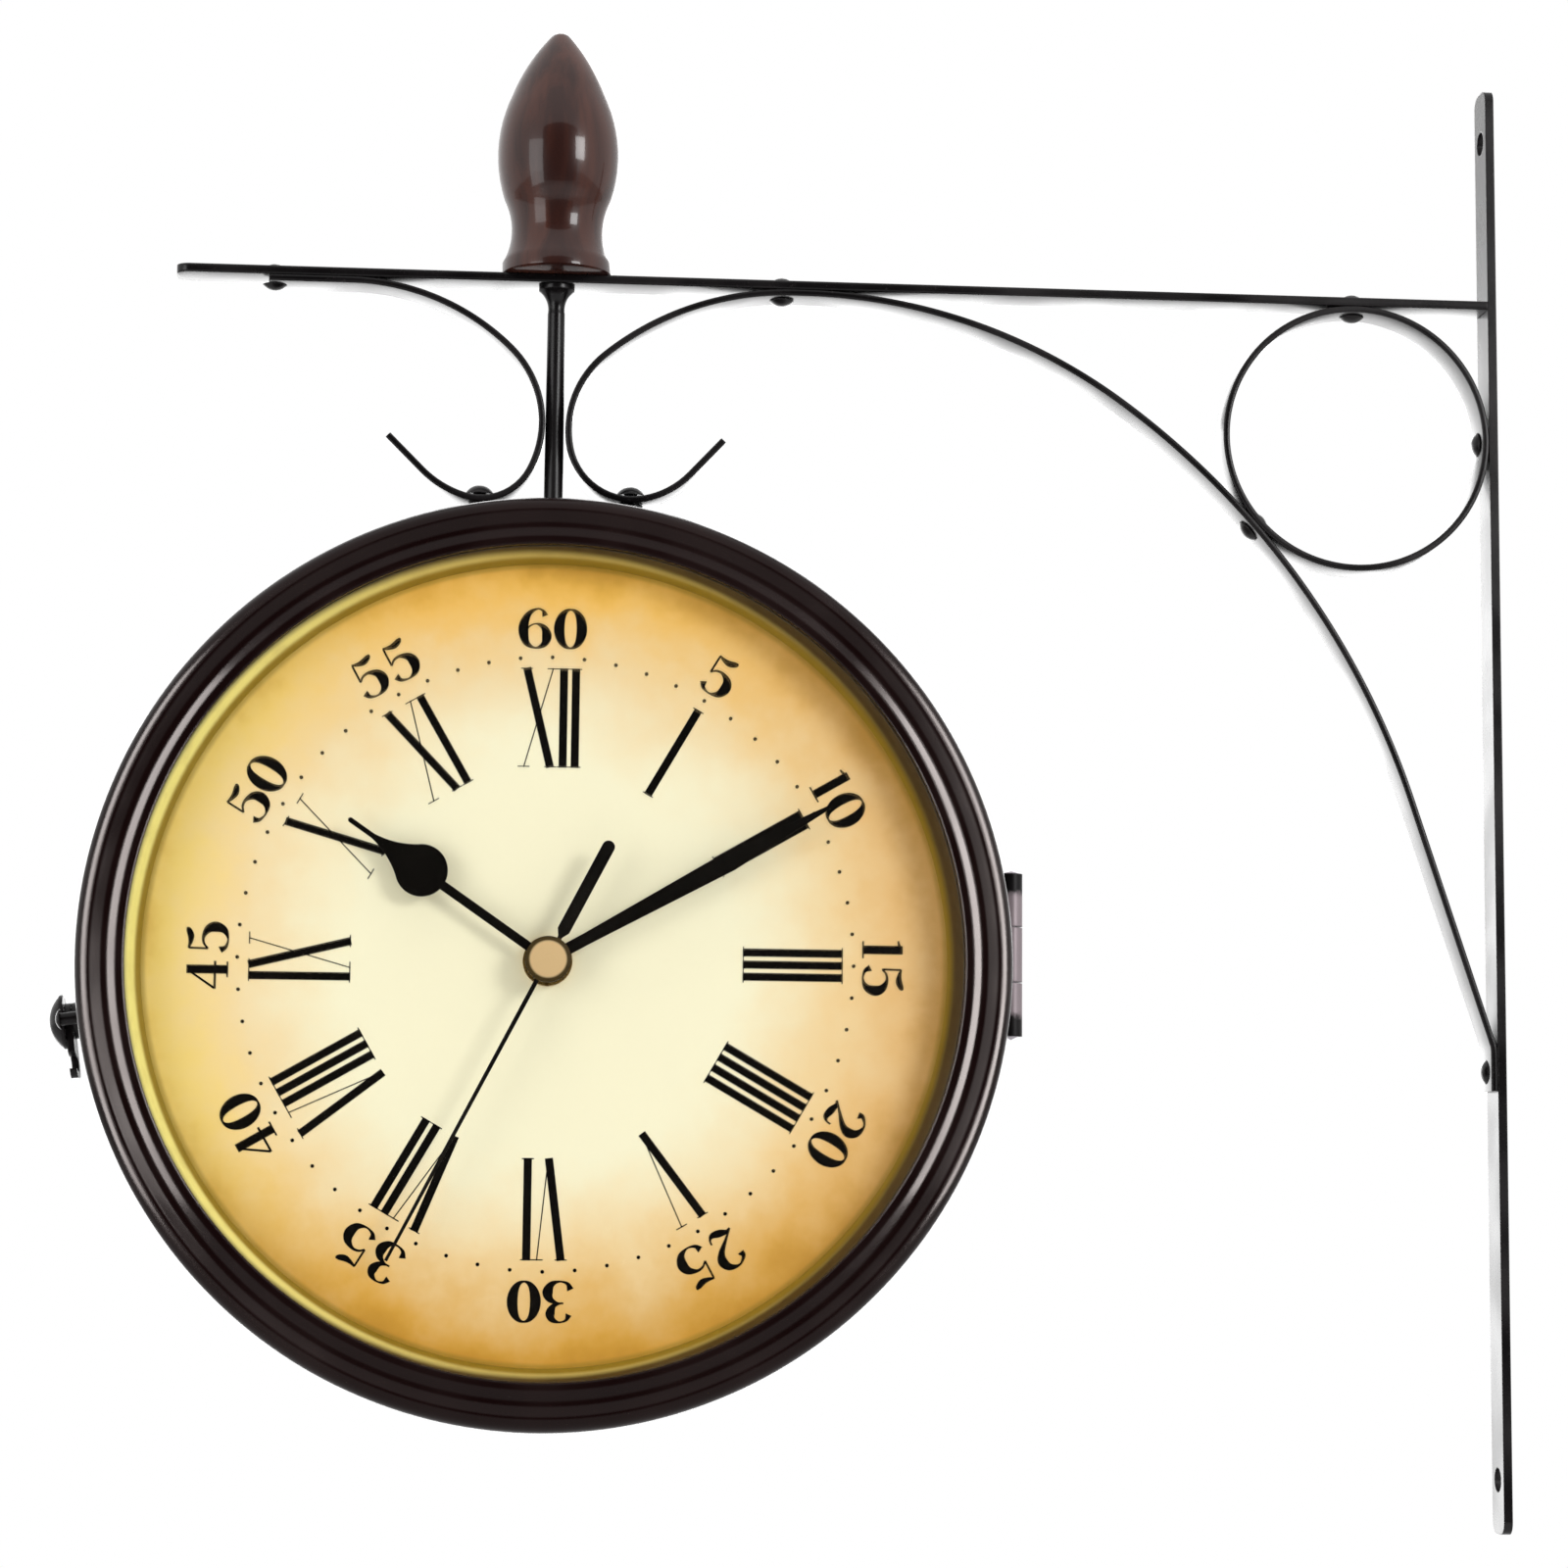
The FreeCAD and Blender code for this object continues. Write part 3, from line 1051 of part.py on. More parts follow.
def minute_wheel(phase, pinion_phase):
    wheel = gear(MINUTE_TEETH, MODULE_FINE, LAYER_MINUTE, WHEEL_THICK, phase, MINUTE_AT)
    pinion = gear(MINUTE_PINION_TEETH, MODULE_HOUR, LAYER_HOUR - PINION_LAP, PINION_THICK,
                  pinion_phase, MINUTE_AT)
    boss = disc(MINUTE_BOSS_RADIUS, LAYER_MINUTE, LAYER_HOUR - LAYER_MINUTE, MINUTE_AT)
    bore = disc(MINUTE_STUD_RADIUS + PIPE_GAP, LAYER_MINUTE - 1, 5, MINUTE_AT)
    return fuse([wheel, boss, pinion]).cut(bore)


def hour_wheel(phase):
    front = HOUR_HAND_DEPTH + HAND_THICK + 0.3
    pipe = disc(HOUR_PIPE_RADIUS, LAYER_HOUR, front - LAYER_HOUR)
    wheel = gear(HOUR_TEETH, MODULE_HOUR, LAYER_HOUR, WHEEL_THICK, phase)
    bore = disc(MINUTE_PIPE_RADIUS + PIPE_GAP, LAYER_HOUR - 1, front - LAYER_HOUR + 2)
    return fuse([pipe, wheel]).cut(bore)


def set_knob(phase):
    """Knob behind the case and its pinion in mesh with the minute wheel."""
    knob_front = CASE_BACK - 0.3
    knob = disc(KNOB_RADIUS, knob_front - KNOB_HEIGHT, KNOB_HEIGHT, SET_AT)
    grips = [disc(0.5, knob_front - KNOB_HEIGHT - 1, KNOB_HEIGHT + 2,
                  polar(KNOB_RADIUS + 0.1, 30 * index, SET_AT)) for index in range(12)]
    pinion = gear(SET_TEETH, MODULE_FINE, LAYER_MINUTE - PINION_LAP, PINION_THICK, phase, SET_AT)
    shaft = arbor(SET_AT, back=knob_front - 1)
    return fuse([knob.cut(group(grips)), shaft, pinion])


def hand_plate(outline, back):
    return plate(outline, back, HAND_THICK)


def hour_hand():
    """Pierced by its hub, with a bulb like a drop, drawn in to a thin point."""
    half, point = HOUR_SHAFT_WIDTH / 2, HOUR_POINT / 2
    back, bulb = HOUR_HAND_DEPTH, HOUR_BULB_CENTRE
    side = polar(HOUR_BULB_RADIUS, 32, (0, bulb))
    cheek = (0.43 * (side[0] + point), side[1] + 0.4 * (HOUR_BULB_NECK - side[1]))
    left = [(-x, z) for x, z in (side, cheek)]
    shapes = [
        disc(HOUR_HUB_RADIUS, back, HAND_THICK),
        hand_plate([(-half, 0), (half, 0), (half, bulb), (-half, bulb)], back),
        disc(HOUR_BULB_RADIUS, back, HAND_THICK, (0, bulb)),
        hand_plate([(0, bulb), side, ("arc", cheek, (point, HOUR_BULB_NECK)),
                    (point, HOUR_LENGTH - point), ("arc", (0, HOUR_LENGTH),
                                                   (-point, HOUR_LENGTH - point)),
                    (-point, HOUR_BULB_NECK), ("arc", left[1], left[0])], back)]
    bore = disc(HOUR_PIPE_RADIUS, back - 1, HAND_THICK + 2)
    return clockwise(fuse(shapes).cut(bore), HOUR_ANGLE)


def minute_hand():
    """Lance: widest past the middle, then drawn to a point."""
    back = MINUTE_HAND_DEPTH
    half = [(MINUTE_NARROW / 2, 0), (MINUTE_NARROW / 2, 2 * MINUTE_HUB_RADIUS),
            (MINUTE_WIDE / 2, MINUTE_WIDE_AT), (MINUTE_POINT / 2, MINUTE_LENGTH)]
    outline = half + [(-x, z) for x, z in reversed(half)]
    bore = disc(MINUTE_PIPE_RADIUS, back - 1, HAND_THICK + 2)
    blade = fuse([disc(MINUTE_HUB_RADIUS, back, HAND_THICK), hand_plate(outline, back)])
    return clockwise(blade.cut(bore), MINUTE_ANGLE)


def second_hand():
    """Thin blade and round-ended tail in one plate, under a domed cap."""
    back = SECOND_HAND_DEPTH
    half, tail, end = SECOND_WIDTH / 2, SECOND_TAIL_WIDTH / 2, -SECOND_TAIL_LENGTH
    neck, shoulder = -1.1 * SECOND_CAP_RADIUS, -1.4 * SECOND_CAP_RADIUS
    right = [(0.7 * half, SECOND_LENGTH), (half, 0), (half, neck), (tail, shoulder),
             (tail, end + tail)]
    left = [(-x, z) for x, z in reversed(right)]
    blade = hand_plate(right + [("arc", (0, end), left[0])] + left[1:], back)
    edge = back + 0.6 * SECOND_CAP_HEIGHT
    cap = turned_y([(0, -back), (SECOND_CAP_RADIUS, -back), (SECOND_CAP_RADIUS, -edge),
                    dome(SECOND_CAP_RADIUS, 0.4 * SECOND_CAP_HEIGHT, -edge, -1)])
    bore = disc(PIVOT_RADIUS, back - 1, HAND_THICK + 1)
    return clockwise(fuse([blade, cap]).cut(bore), SECOND_ANGLE)


def movement():
    """Every piece of one quartz movement with its hands, the train in mesh."""
    to_rotor = bearing_of(INTERMEDIATE_AT, ROTOR_AT)
    second = intermediate = third_pinion = cannon = minute_pinion = 0.0
    intermediate_pinion = meshed_phase(INTERMEDIATE_BEARING, SECOND_TEETH, second,
                                       INTERMEDIATE_PINION_TEETH)
    rotor_phase = meshed_phase(to_rotor, INTERMEDIATE_TEETH, intermediate, ROTOR_TEETH)
    third = meshed_phase(THIRD_BEARING, SECOND_PINION_TEETH, second, THIRD_TEETH)
    centre = meshed_phase(THIRD_BEARING + 180, THIRD_PINION_TEETH, third_pinion, CENTRE_TEETH)
    minute = meshed_phase(MINUTE_BEARING, CANNON_TEETH, cannon, MINUTE_TEETH)
    hour = meshed_phase(MINUTE_BEARING + 180, MINUTE_PINION_TEETH, minute_pinion, HOUR_TEETH)
    setting = meshed_phase(SET_BEARING, MINUTE_TEETH, minute, SET_TEETH)
    return {
        "movement_case": movement_case(),
        "movement_back": movement_back(),
        "neck_nut": neck_nut(),
        "battery": battery(),
        "motor_coil": motor_coil(),
        "rotor": rotor(rotor_phase),
        "intermediate_wheel": intermediate_wheel(intermediate, intermediate_pinion),
        "second_wheel": second_wheel(second, second),
        "third_wheel": third_wheel(third, third_pinion),
        "centre_wheel": centre_wheel(centre, cannon),
        "minute_wheel": minute_wheel(minute, minute_pinion),
        "hour_wheel": hour_wheel(hour),
        "set_knob": set_knob(setting),
        "hour_hand": hour_hand(),
        "minute_hand": minute_hand(),
        "second_hand": second_hand(),
    }


# ================================================================ whole clock

def to_rear(shape):
    return turn(shape, 180, Vector(0, 0, 1))


def bracket_pieces():
    return {
        "wall_bar": wall_bar(), "top_bar": top_bar(), "arch_brace": arch_brace(),
        "left_scroll": left_scroll(), "ring": ring(), "bracket_rivets": bracket_rivets(),
        "stem_tube": stem_tube(), "tie_rod": tie_rod(), "finial": finial(),
        "inner_nuts": inner_nuts(), "scroll_screws": scroll_screws(),
    }


def case_pieces():
    return {
        "drum": drum(), "front_bezel": front_bezel(), "rear_bezel": rear_bezel(),
        "rear_bezel_screws": rear_bezel_screws(), "hinge_leaf_fixed": hinge_leaf_fixed(),
        "hinge_leaf_door": hinge_leaf_door(), "hinge_pin": hinge_pin(),
        "latch_plate": latch_plate(), "latch_rivet": latch_rivet(),
        "latch_hook": latch_hook(), "latch_stud": latch_stud(),
    }


def face_pieces():
    pieces = {"glass": glass(), "reveal_ring": reveal_ring(), "dial": dial()}
    pieces.update(movement())
    both = {}
    for name, shape in pieces.items():
        both["front_" + name] = shape
        both["rear_" + name] = to_rear(shape)
    return both


def main():
    os.makedirs("parts", exist_ok=True)
    pieces = {**bracket_pieces(), **case_pieces(), **face_pieces()}
    to_wall = Vector(-REACH, 0, -CLOCK_DROP)
    for name, shape in pieces.items():
        placed = shape.copy()
        placed.translate(to_wall)
        placed.exportStep("parts/" + name + ".step")
        print(name, len(placed.Solids), "solids", round(placed.Volume, 1), "mm3",
              "valid" if placed.isValid() else "NOT VALID")
    print(len(pieces), "nodes")


main()
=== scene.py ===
"""Looks of a double sided station clock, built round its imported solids.

Lengths in the tables below are millimetres from the clock's centre: x to the wall, z up, and depth
towards a face. put_in_row() turns them into the row's frame in metres.
"""
import math

import bmesh
import bpy
import numpy as np
from bpy.props import FloatProperty, FloatVectorProperty, IntProperty, PointerProperty
from mathutils import Matrix, Vector


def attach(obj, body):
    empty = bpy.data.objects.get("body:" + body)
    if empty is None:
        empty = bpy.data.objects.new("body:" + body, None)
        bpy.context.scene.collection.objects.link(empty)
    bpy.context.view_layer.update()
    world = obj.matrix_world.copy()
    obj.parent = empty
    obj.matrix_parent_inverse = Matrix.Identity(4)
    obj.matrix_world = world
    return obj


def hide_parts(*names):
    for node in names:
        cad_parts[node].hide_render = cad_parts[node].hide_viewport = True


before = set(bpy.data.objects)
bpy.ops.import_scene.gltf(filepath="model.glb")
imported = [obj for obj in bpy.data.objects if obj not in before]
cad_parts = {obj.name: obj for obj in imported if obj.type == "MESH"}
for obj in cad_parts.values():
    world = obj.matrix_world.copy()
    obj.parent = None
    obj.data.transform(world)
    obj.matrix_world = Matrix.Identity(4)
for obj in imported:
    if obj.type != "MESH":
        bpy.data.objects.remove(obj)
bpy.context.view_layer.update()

bl_info = {
    "name": "Station Clock",
    "version": (1, 0, 0),
    "blender": (4, 5, 0),
    "location": "View3D > Sidebar > Station Clock",
    "description": "Builds the looks of a double sided station clock round its packed solids",
    "category": "Add Mesh",
}

CENTRE_MM = (-218.5, 0.0, -43.0)      # the clock's centre in the row's frame
SIDES = ("front", "rear")
ROOT = "bracket_and_drum"
CARRIER = {"front": "front_door", "rear": ROOT}
PRINT_SINK = -0.05                    # foot of the printing, below the dial's face
TABS, FIRST_TAB = 6, 30               # tabs that hold a dial in its bezel, and the first one's angle
TAB_LENGTH, TAB_WIDTH = 4.5, 8.0
BARREL_MIDDLE = 3.4                   # height of the middle of the hinge barrel
SCREEN_BACK, SCREEN_HALF = -2.3, 1.5  # dark screen behind the camera, in metres from the wall bar


def linear(red, green, blue):
    """Screen colour of 0 to 255 as the linear colour that the shaders use."""
    share = np.array((red, green, blue)) / 255
    low, high = share / 12.92, ((share + 0.055) / 1.055) ** 2.4
    return tuple(float(v) for v in np.where(share <= 0.04045, low, high))


def length(name, description, default, lowest=0.01):
    """Property for a size in millimetres."""
    return FloatProperty(name=name, description=description, default=default, min=lowest,
                         unit="NONE", subtype="NONE", precision=2)


def colour(name, description, default):
    """Property for a colour."""
    return FloatVectorProperty(name=name, description=description, default=default, size=3,
                               min=0.0, max=1.0, subtype="COLOR")


# ================================================================ what a user would change

class ClockBracketSizes(bpy.types.PropertyGroup):
    bar_width: length("Bar width", "Width of every flat bar, in mm", 9.5)
    bar_thick: length("Top bar thickness", "Thickness of the top bar, in mm", 2.0)
    strip_thick: length("Strip thickness", "Thickness of the ring, scrolls and arch, in mm", 1.5)
    edge_round: length("Edge rounding", "Radius along the edges of each bar, in mm", 0.45)
    end_round: length("End rounding", "Corner radius at the free end of the top bar, in mm", 3.0)
    arm_height: length("Top bar height", "Underside above the clock's centre, in mm", 157.0)
    arm_overhang: length("Overhang", "Free end beyond the clock's centre, in mm", 86.3)
    wall_face: length("Wall bar face", "Room side of the wall bar from the centre, in mm", 216.5)
    reach: length("Reach", "Wall from the clock's centre, in mm", 218.5)
    tenon_width: length("Tenon width", "Width of the top bar inside the wall bar, in mm", 5.0)
    step: length("Step", "Distance between sections along a strip, in mm", 1.6)


class ClockCaseSizes(bpy.types.PropertyGroup):
    half_thick: length("Half thickness", "Middle of the clock to a bezel's front, in mm", 38.0)
    drum_radius: length("Drum radius", "Outside of the drum, in mm", 100.0)
    sheet: length("Sheet", "Thickness of the pressed sheet, in mm", 1.2)
    split: length("Split", "Middle of the clock to a bezel's back edge, in mm", 20.2)
    bezel_radius: length("Bezel radius", "Widest part of the bezel's roll, in mm", 101.0)
    opening_radius: length("Opening radius", "Inner edge of the bezel, in mm", 90.2)
    glass_radius: length("Glass radius", "Edge of the glass and dial, in mm", 92.8)
    glass_back: length("Glass back", "Middle of the clock to the glass's back, in mm", 34.8)
    dial_face: length("Dial face", "Middle of the clock to the dial's face, in mm", 25.8)
    dial_thick: length("Dial thickness", "Thickness of the dial, in mm", 0.8)
    reveal_foot: length("Reveal foot", "Inner radius of the sloping ring at the dial, in mm", 87.6)
    segments: IntProperty(name="Segments", description="Sections round a turned ring",
                          default=240, min=24)


class ClockPrintSizes(bpy.types.PropertyGroup):
    hour_foot: length("Hour numeral foot", "Radius of the foot of a Roman numeral, in mm", 42.6)
    hour_top: length("Hour numeral top", "Radius of the top of a Roman numeral, in mm", 64.6)
    bar: length("Thick stroke", "Thick stroke of a Roman numeral, in mm", 1.75)
    hair: length("Hairline", "Thin stroke of a Roman numeral, in mm", 0.24)
    dot_ring: length("Dot ring", "Radius of the ring of minute dots, in mm", 67.0)
    dot: length("Dot", "Radius of a minute dot, in mm", 0.42)
    minute_foot: length("Minute number foot", "Radius of the foot of a minute number, in mm", 68.9)
    digit_pitch: length("Digit pitch", "Width that a digit takes, in mm", 7.7)
    one_pitch: length("Pitch of a one", "Width that the digit 1 takes, in mm", 5.4)
    digit_weight: FloatProperty(name="Digit weight", description="Width of a digit's strokes",
                                default=1.25, min=0.2, subtype="FACTOR")
    film: length("Film", "Height of the printing above the dial, in mm", 0.06, 0.001)


class ClockColours(bpy.types.PropertyGroup):
    iron: colour("Bracket", "Satin paint of the bracket", linear(12, 10, 11))
    iron_worn: colour("Worn bracket", "Bracket where its paint has rubbed", linear(104, 96, 98))
    lacquer: colour("Finial", "Lacquer of the finial", linear(76, 42, 33))
    lacquer_deep: colour("Finial depth", "Darker streaks in the finial", linear(46, 23, 19))
    bezel: colour("Bezel", "Gloss paint of the bezels", linear(20, 8, 8))
    case: colour("Case", "Gloss paint of the drum and latch", linear(11, 8, 9))
    dial_middle: colour("Dial middle", "Middle of the dial", linear(254, 248, 212))
    dial_ring: colour("Dial ring", "Dial under the numbers", linear(249, 222, 168))
    dial_edge: colour("Dial edge", "Toasted edge of the dial", linear(252, 196, 84))
    dial_gold: colour("Dial gold", "Brighter gold of the dial's left edge", linear(255, 224, 122))
    dial_low: colour("Dial low", "Deeper orange at the foot of the dial", linear(218, 160, 52))
    dial_deep: colour("Dial brown", "Scorched rim of the dial", linear(200, 146, 50))
    dial_tan: colour("Dial tan", "Paler brown of the dial's right edge", linear(238, 190, 120))
    reveal: colour("Reveal", "Sloping ring behind the glass", linear(250, 242, 150))
    # painted shade: the ring goes this dim from its left side to its middle and right, and its faint rub
    # marks take the same colour
    reveal_shade: colour("Reveal shade", "Ring where the bezel keeps it dim", linear(176, 156, 86))
    # painted shade: the dark band where the bezel's lip overhangs the ring
    reveal_dark: colour("Reveal edge", "Dark line where the ring meets the bezel", linear(46, 34, 12))
    # painted shade: the olive line in the crease where the ring meets the dial, on both parts
    reveal_line: colour("Reveal line", "Olive line at the ring's foot", linear(146, 122, 34))
    ink: colour("Ink", "Printing and hands", linear(8, 6, 4))
    cap: colour("Cap", "Face of the cap over the hands", linear(212, 180, 130))
    cap_rim: colour("Cap rim", "Rim of the cap over the hands", linear(64, 50, 22))
    zinc: colour("Zinc", "Zinc plate of the hinge and fasteners", linear(176, 170, 176))
    # painted reflection: the hinge's pale mauve-grey stands in for the bright studio seen in its dark gloss
    hinge: colour("Hinge", "Worn plate of the hinge", linear(150, 138, 142))
    flag: colour("Flag", "Dark screen behind the camera, seen in reflections", linear(16, 14, 15))
    floor: colour("Floor", "Studio floor", (0.86, 0.86, 0.86))


class ClockStageSizes(bpy.types.PropertyGroup):
    focal: FloatProperty(name="Focal length", description="Camera lens on a 36 mm sensor, in mm",
                         default=85.7, min=10.0, subtype="NONE")
    camera: FloatVectorProperty(name="Camera", description="Where the camera stands",
                                default=(-0.2329, -0.839, -0.1015), subtype="TRANSLATION",
                                unit="LENGTH")
    aim: FloatVectorProperty(name="Aim", description="Camera's turn to the right, tilt up and roll",
                             default=tuple(math.radians(v) for v in (4.62, 6.88, -0.54)),
                             subtype="EULER", unit="ROTATION")
    floor_drop: FloatProperty(name="Floor", description="Height of the studio floor",
                              default=-0.62, unit="LENGTH")
    floor_size: FloatProperty(name="Floor size", description="Side of the studio floor",
                              default=9.0, unit="LENGTH")
    lamp_key: FloatProperty(name="Key lamp", description="Power of the large right lamp",
                            default=14.0, min=0.0, unit="POWER")
    lamp_fill: FloatProperty(name="Fill lamp", description="Power of the left lamp",
                             default=8.0, min=0.0, unit="POWER")
    lamp_top: FloatProperty(name="Top lamp", description="Power of the lamp above",
                            default=8.0, min=0.0, unit="POWER")
    lamp_back: FloatProperty(name="Rear lamp", description="Power of the lamp behind",
                             default=12.0, min=0.0, unit="POWER")
    strip_right: FloatProperty(name="Right strip", description="Power of the strip that only gives gloss",
                               default=115.0, min=0.0, unit="POWER")
    strip_left: FloatProperty(name="Left strip", description="Power of the strip that only gives gloss",
                              default=85.0, min=0.0, unit="POWER")
    glow_back: FloatProperty(name="Rear glow", description="Power of the screen behind that only gives gloss",
                             default=24.0, min=0.0, unit="POWER")
    sky: FloatProperty(name="Surround", description="Soft light from all round",
                       default=0.42, min=0.0, subtype="FACTOR")


GROUPS = {"clock_bracket": ClockBracketSizes, "clock_case": ClockCaseSizes,
          "clock_print": ClockPrintSizes, "clock_colours": ClockColours,
          "clock_stage": ClockStageSizes}


# ================================================================ meshes

def put_in_row(points, side="front"):
    """Points of x, depth and z in mm become metres in the row's frame.

    Depth runs towards the face: along -y at the front, and the rear face is the front one
    turned half a turn about the upright through the clock's centre.
    """
    turned = 1 if side == "front" else -1
    scale = np.array((turned, -turned, 1.0))
    return (np.asarray(points, float) * scale + CENTRE_MM) / 1000


def grid_faces(rows, columns, loop, ring, first=0):
    """Four-sided faces of a grid: each joins a point to the next of its row and of its column.

    A ring joins the last column to the first one and a loop the last row to the first row. A
    grid that is no loop gets one flat face over its first row and one over its last row.
    """
    index = np.arange(rows * columns).reshape(rows, columns) + first
    ends = [] if loop else [index[0].tolist(), index[-1, ::-1].tolist()]
    if loop:
        index = np.vstack([index, index[:1]])
    if ring:
        index = np.hstack([index, index[:, :1]])
    quads = np.stack([index[:-1, :-1], index[1:, :-1], index[1:, 1:], index[:-1, 1:]], -1)
    return quads.reshape(-1, 4).tolist() + ends


def make_object(name, shells, side="front", smooth=40.0):
    """One object from closed shells, each a grid of points in mm with its loop flag.

    Double points at a pole are merged, so that the pole is closed, and every face is turned
    outwards. Edges sharper than the smooth angle stay sharp.
    """
    points, faces = [], []
    count = 0
    for grid, loop in shells:
        rows, columns = grid.shape[:2]
        faces += grid_faces(rows, columns, loop, True, count)
        points.append(grid.reshape(-1, 3))
        count += rows * columns
    mesh = bpy.data.meshes.new(name)
    mesh.from_pydata(put_in_row(np.vstack(points), side).tolist(), [], faces)
    work = bmesh.new()
    work.from_mesh(mesh)
    bmesh.ops.remove_doubles(work, verts=work.verts, dist=1e-7)
    bmesh.ops.recalc_face_normals(work, faces=work.faces)
    work.to_mesh(mesh)
    work.free()
    mesh.shade_smooth()
    mesh.set_sharp_from_angle(angle=math.radians(smooth))
    mesh.validate()
    made = bpy.data.objects.new(name, mesh)
    bpy.context.scene.collection.objects.link(made)
    return made


def arc(start, through, end, count=12):
    """Points on the circle through three points, evenly spaced from the first to the last."""
    a, b, c = (complex(*p) for p in (start, through, end))
    w = (c - a) / (b - a)
    centre = (b - a) * (w - abs(w) ** 2) / (2j * w.imag) + a
    first, last = np.angle(a - centre), np.angle(c - centre)
    middle = np.angle(b - centre)
    sweep = (last - first) % (2 * math.pi)
    if (middle - first) % (2 * math.pi) > sweep:
        sweep -= 2 * math.pi
    spots = centre + abs(a - centre) * np.exp(1j * (first + sweep * np.linspace(0, 1, count)))
    return [(float(p.real), float(p.imag)) for p in spots]


def outline(items):
    """Outline of plain points and of arcs, each arc written as (middle, end)."""
    points = []
    for item in items:
        if isinstance(item[0], tuple):
            points += arc(points[-1], item[0], item[1])[1:]
        else:
            points.append(tuple(item))
    return np.array(points)


def softened(points, radius, steps=3):
    """Closed outline with each sharp corner cut by a small arc.

    Each corner P with neighbours A and B becomes the curve (1-t)^2 P1 + 2t(1-t) P + t^2 P2,
    where P1 and P2 lie the radius away from P on the two sides, or half a side if that is less.
    """
    before, after = np.roll(points, 1, 0) - points, np.roll(points, -1, 0) - points
    near, far = np.linalg.norm(before, axis=1), np.linalg.norm(after, axis=1)
    bend = np.einsum("ij,ij->i", before, after) / (near * far)
    sharp = bend > -0.93
    cut = np.minimum(radius, np.minimum(near, far) * 0.45) * sharp
    one = points + before * (cut / near)[:, None]
    two = points + after * (cut / far)[:, None]
    t = np.linspace(0, 1, steps + 1)[None, :, None]
    curve = (1 - t) ** 2 * one[:, None] + 2 * t * (1 - t) * points[:, None] + t ** 2 * two[:, None]
    rows = [curve[i] if sharp[i] else points[i:i + 1] for i in range(len(points))]
    return np.vstack(rows)


def turned_ring(profile, segments, about=(0.0, 0.0)):
    """Profile of radius and depth turned about the clock's axis, or about a line beside it.

    A point is (x + r cos a, depth, z + r sin a) for the angle a all the way round.
    """
    angle = np.linspace(0, 2 * math.pi, segments, endpoint=False)[:, None]
    radius, depth = profile[None, :, 0], profile[None, :, 1]
    return np.stack([about[0] + radius * np.cos(angle), depth + 0 * angle,
                     about[1] + radius * np.sin(angle)], -1), True


def turned_post(profile, segments):
    """Profile of radius and height turned about the upright through the clock's centre.

    A point is (r cos a, r sin a, height). The profile starts and ends on the axis, where its
    points merge into one pole.
    """
    angle = np.linspace(0, 2 * math.pi, segments, endpoint=False)[:, None]
    radius, height = profile[None, :, 0], profile[None, :, 1]
    return np.stack([radius * np.cos(angle), radius * np.sin(angle), height + 0 * angle], -1), True


def bar_section(thick, width, rounding, steps=3):
    """Rounded rectangle seen along a bar: offsets across its thickness and its width."""
    t, w = thick / 2, width / 2
    corners = np.array([(-t, -w), (t, -w), (t, w), (-t, w)])
    return softened(corners, min(rounding, t * 0.9), steps)


def carried(path, section, widths=None):
    """Section carried along a path of x and z, square to it and level in depth.

    A section's first offset lies along the path's normal (-dz, dx), its second along the
    depth. widths scales the second offset from point to point.
    """
    slope = np.gradient(path, axis=0)
    slope /= np.linalg.norm(slope, axis=1)[:, None]
    normal = np.stack([-slope[:, 1], slope[:, 0]], -1)
    if widths is None:
        widths = np.ones(len(path))
    x = path[:, None, 0] + normal[:, None, 0] * section[None, :, 0]
    z = path[:, None, 1] + normal[:, None, 1] * section[None, :, 0]
    depth = section[None, :, 1] * widths[:, None]
    return np.stack([x, depth, z], -1), False


def bent(start, heading, runs, step):
    """Path of a bent strip made of runs of (radius, turn), both to scale.

    On an arc the heading h grows evenly, and the point is the start plus
    r (sin h - sin h0, cos h0 - cos h). A turn of 0 is a straight run of that length.
    """
    point, rows = np.array(start, float), []
    h0 = math.radians(heading)
    for size, turn_angle in runs:
        sweep = math.radians(turn_angle)
        distance = abs(sweep) * size if turn_angle else size
        share = np.linspace(0, 1, max(2, math.ceil(distance / step)) + 1)
        if turn_angle:
            r = math.copysign(size, turn_angle)
            h = h0 + sweep * share
            moved = r * np.stack([np.sin(h) - math.sin(h0), math.cos(h0) - np.cos(h)], -1)
        else:
            moved = size * share[:, None] * np.array((math.cos(h0), math.sin(h0)))
        rows.append(point + moved[:-1])
        point = point + moved[-1]
        h0 += sweep
    rows.append(point[None])
    return np.vstack(rows)


def smooth_curve(points, samples=10):
    """Smooth curve through points of any size, by the cubic whose slope at each point is half
    the step from the point before to the point after."""
    p = np.array(points, float)
    padded = np.vstack([2 * p[0] - p[1], p, 2 * p[-1] - p[-2]])
    t = np.linspace(0, 1, samples, endpoint=False)[None, :, None]
    a, b, c, d = (padded[i:len(padded) - 3 + i, None] for i in range(4))
    curve = 0.5 * (2 * b + (c - a) * t + (2 * a - 5 * b + 4 * c - d) * t ** 2
                   + (3 * b - a - 3 * c + d) * t ** 3)
    return np.vstack([curve.reshape(-1, p.shape[1]), p[-1:]])


# ================================================================ shader parts

def put(tree, kind, inputs=None, **settings):
    """Adds a node. An input is linked if it is another node's socket, and set if it is a value."""
    made = tree.nodes.new(kind)
    for name, value in settings.items():
        setattr(made, name, value)
    for key, value in (inputs or {}).items():
        socket = made.inputs[key]
        if isinstance(value, bpy.types.NodeSocket):
            tree.links.new(value, socket)
        else:
            socket.default_value = value
    return made


def maths(tree, operation, *values, clamp=False):
    """Result of one sum on sockets or plain values."""
    return put(tree, "ShaderNodeMath", dict(enumerate(values)), operation=operation,
               use_clamp=clamp).outputs[0]


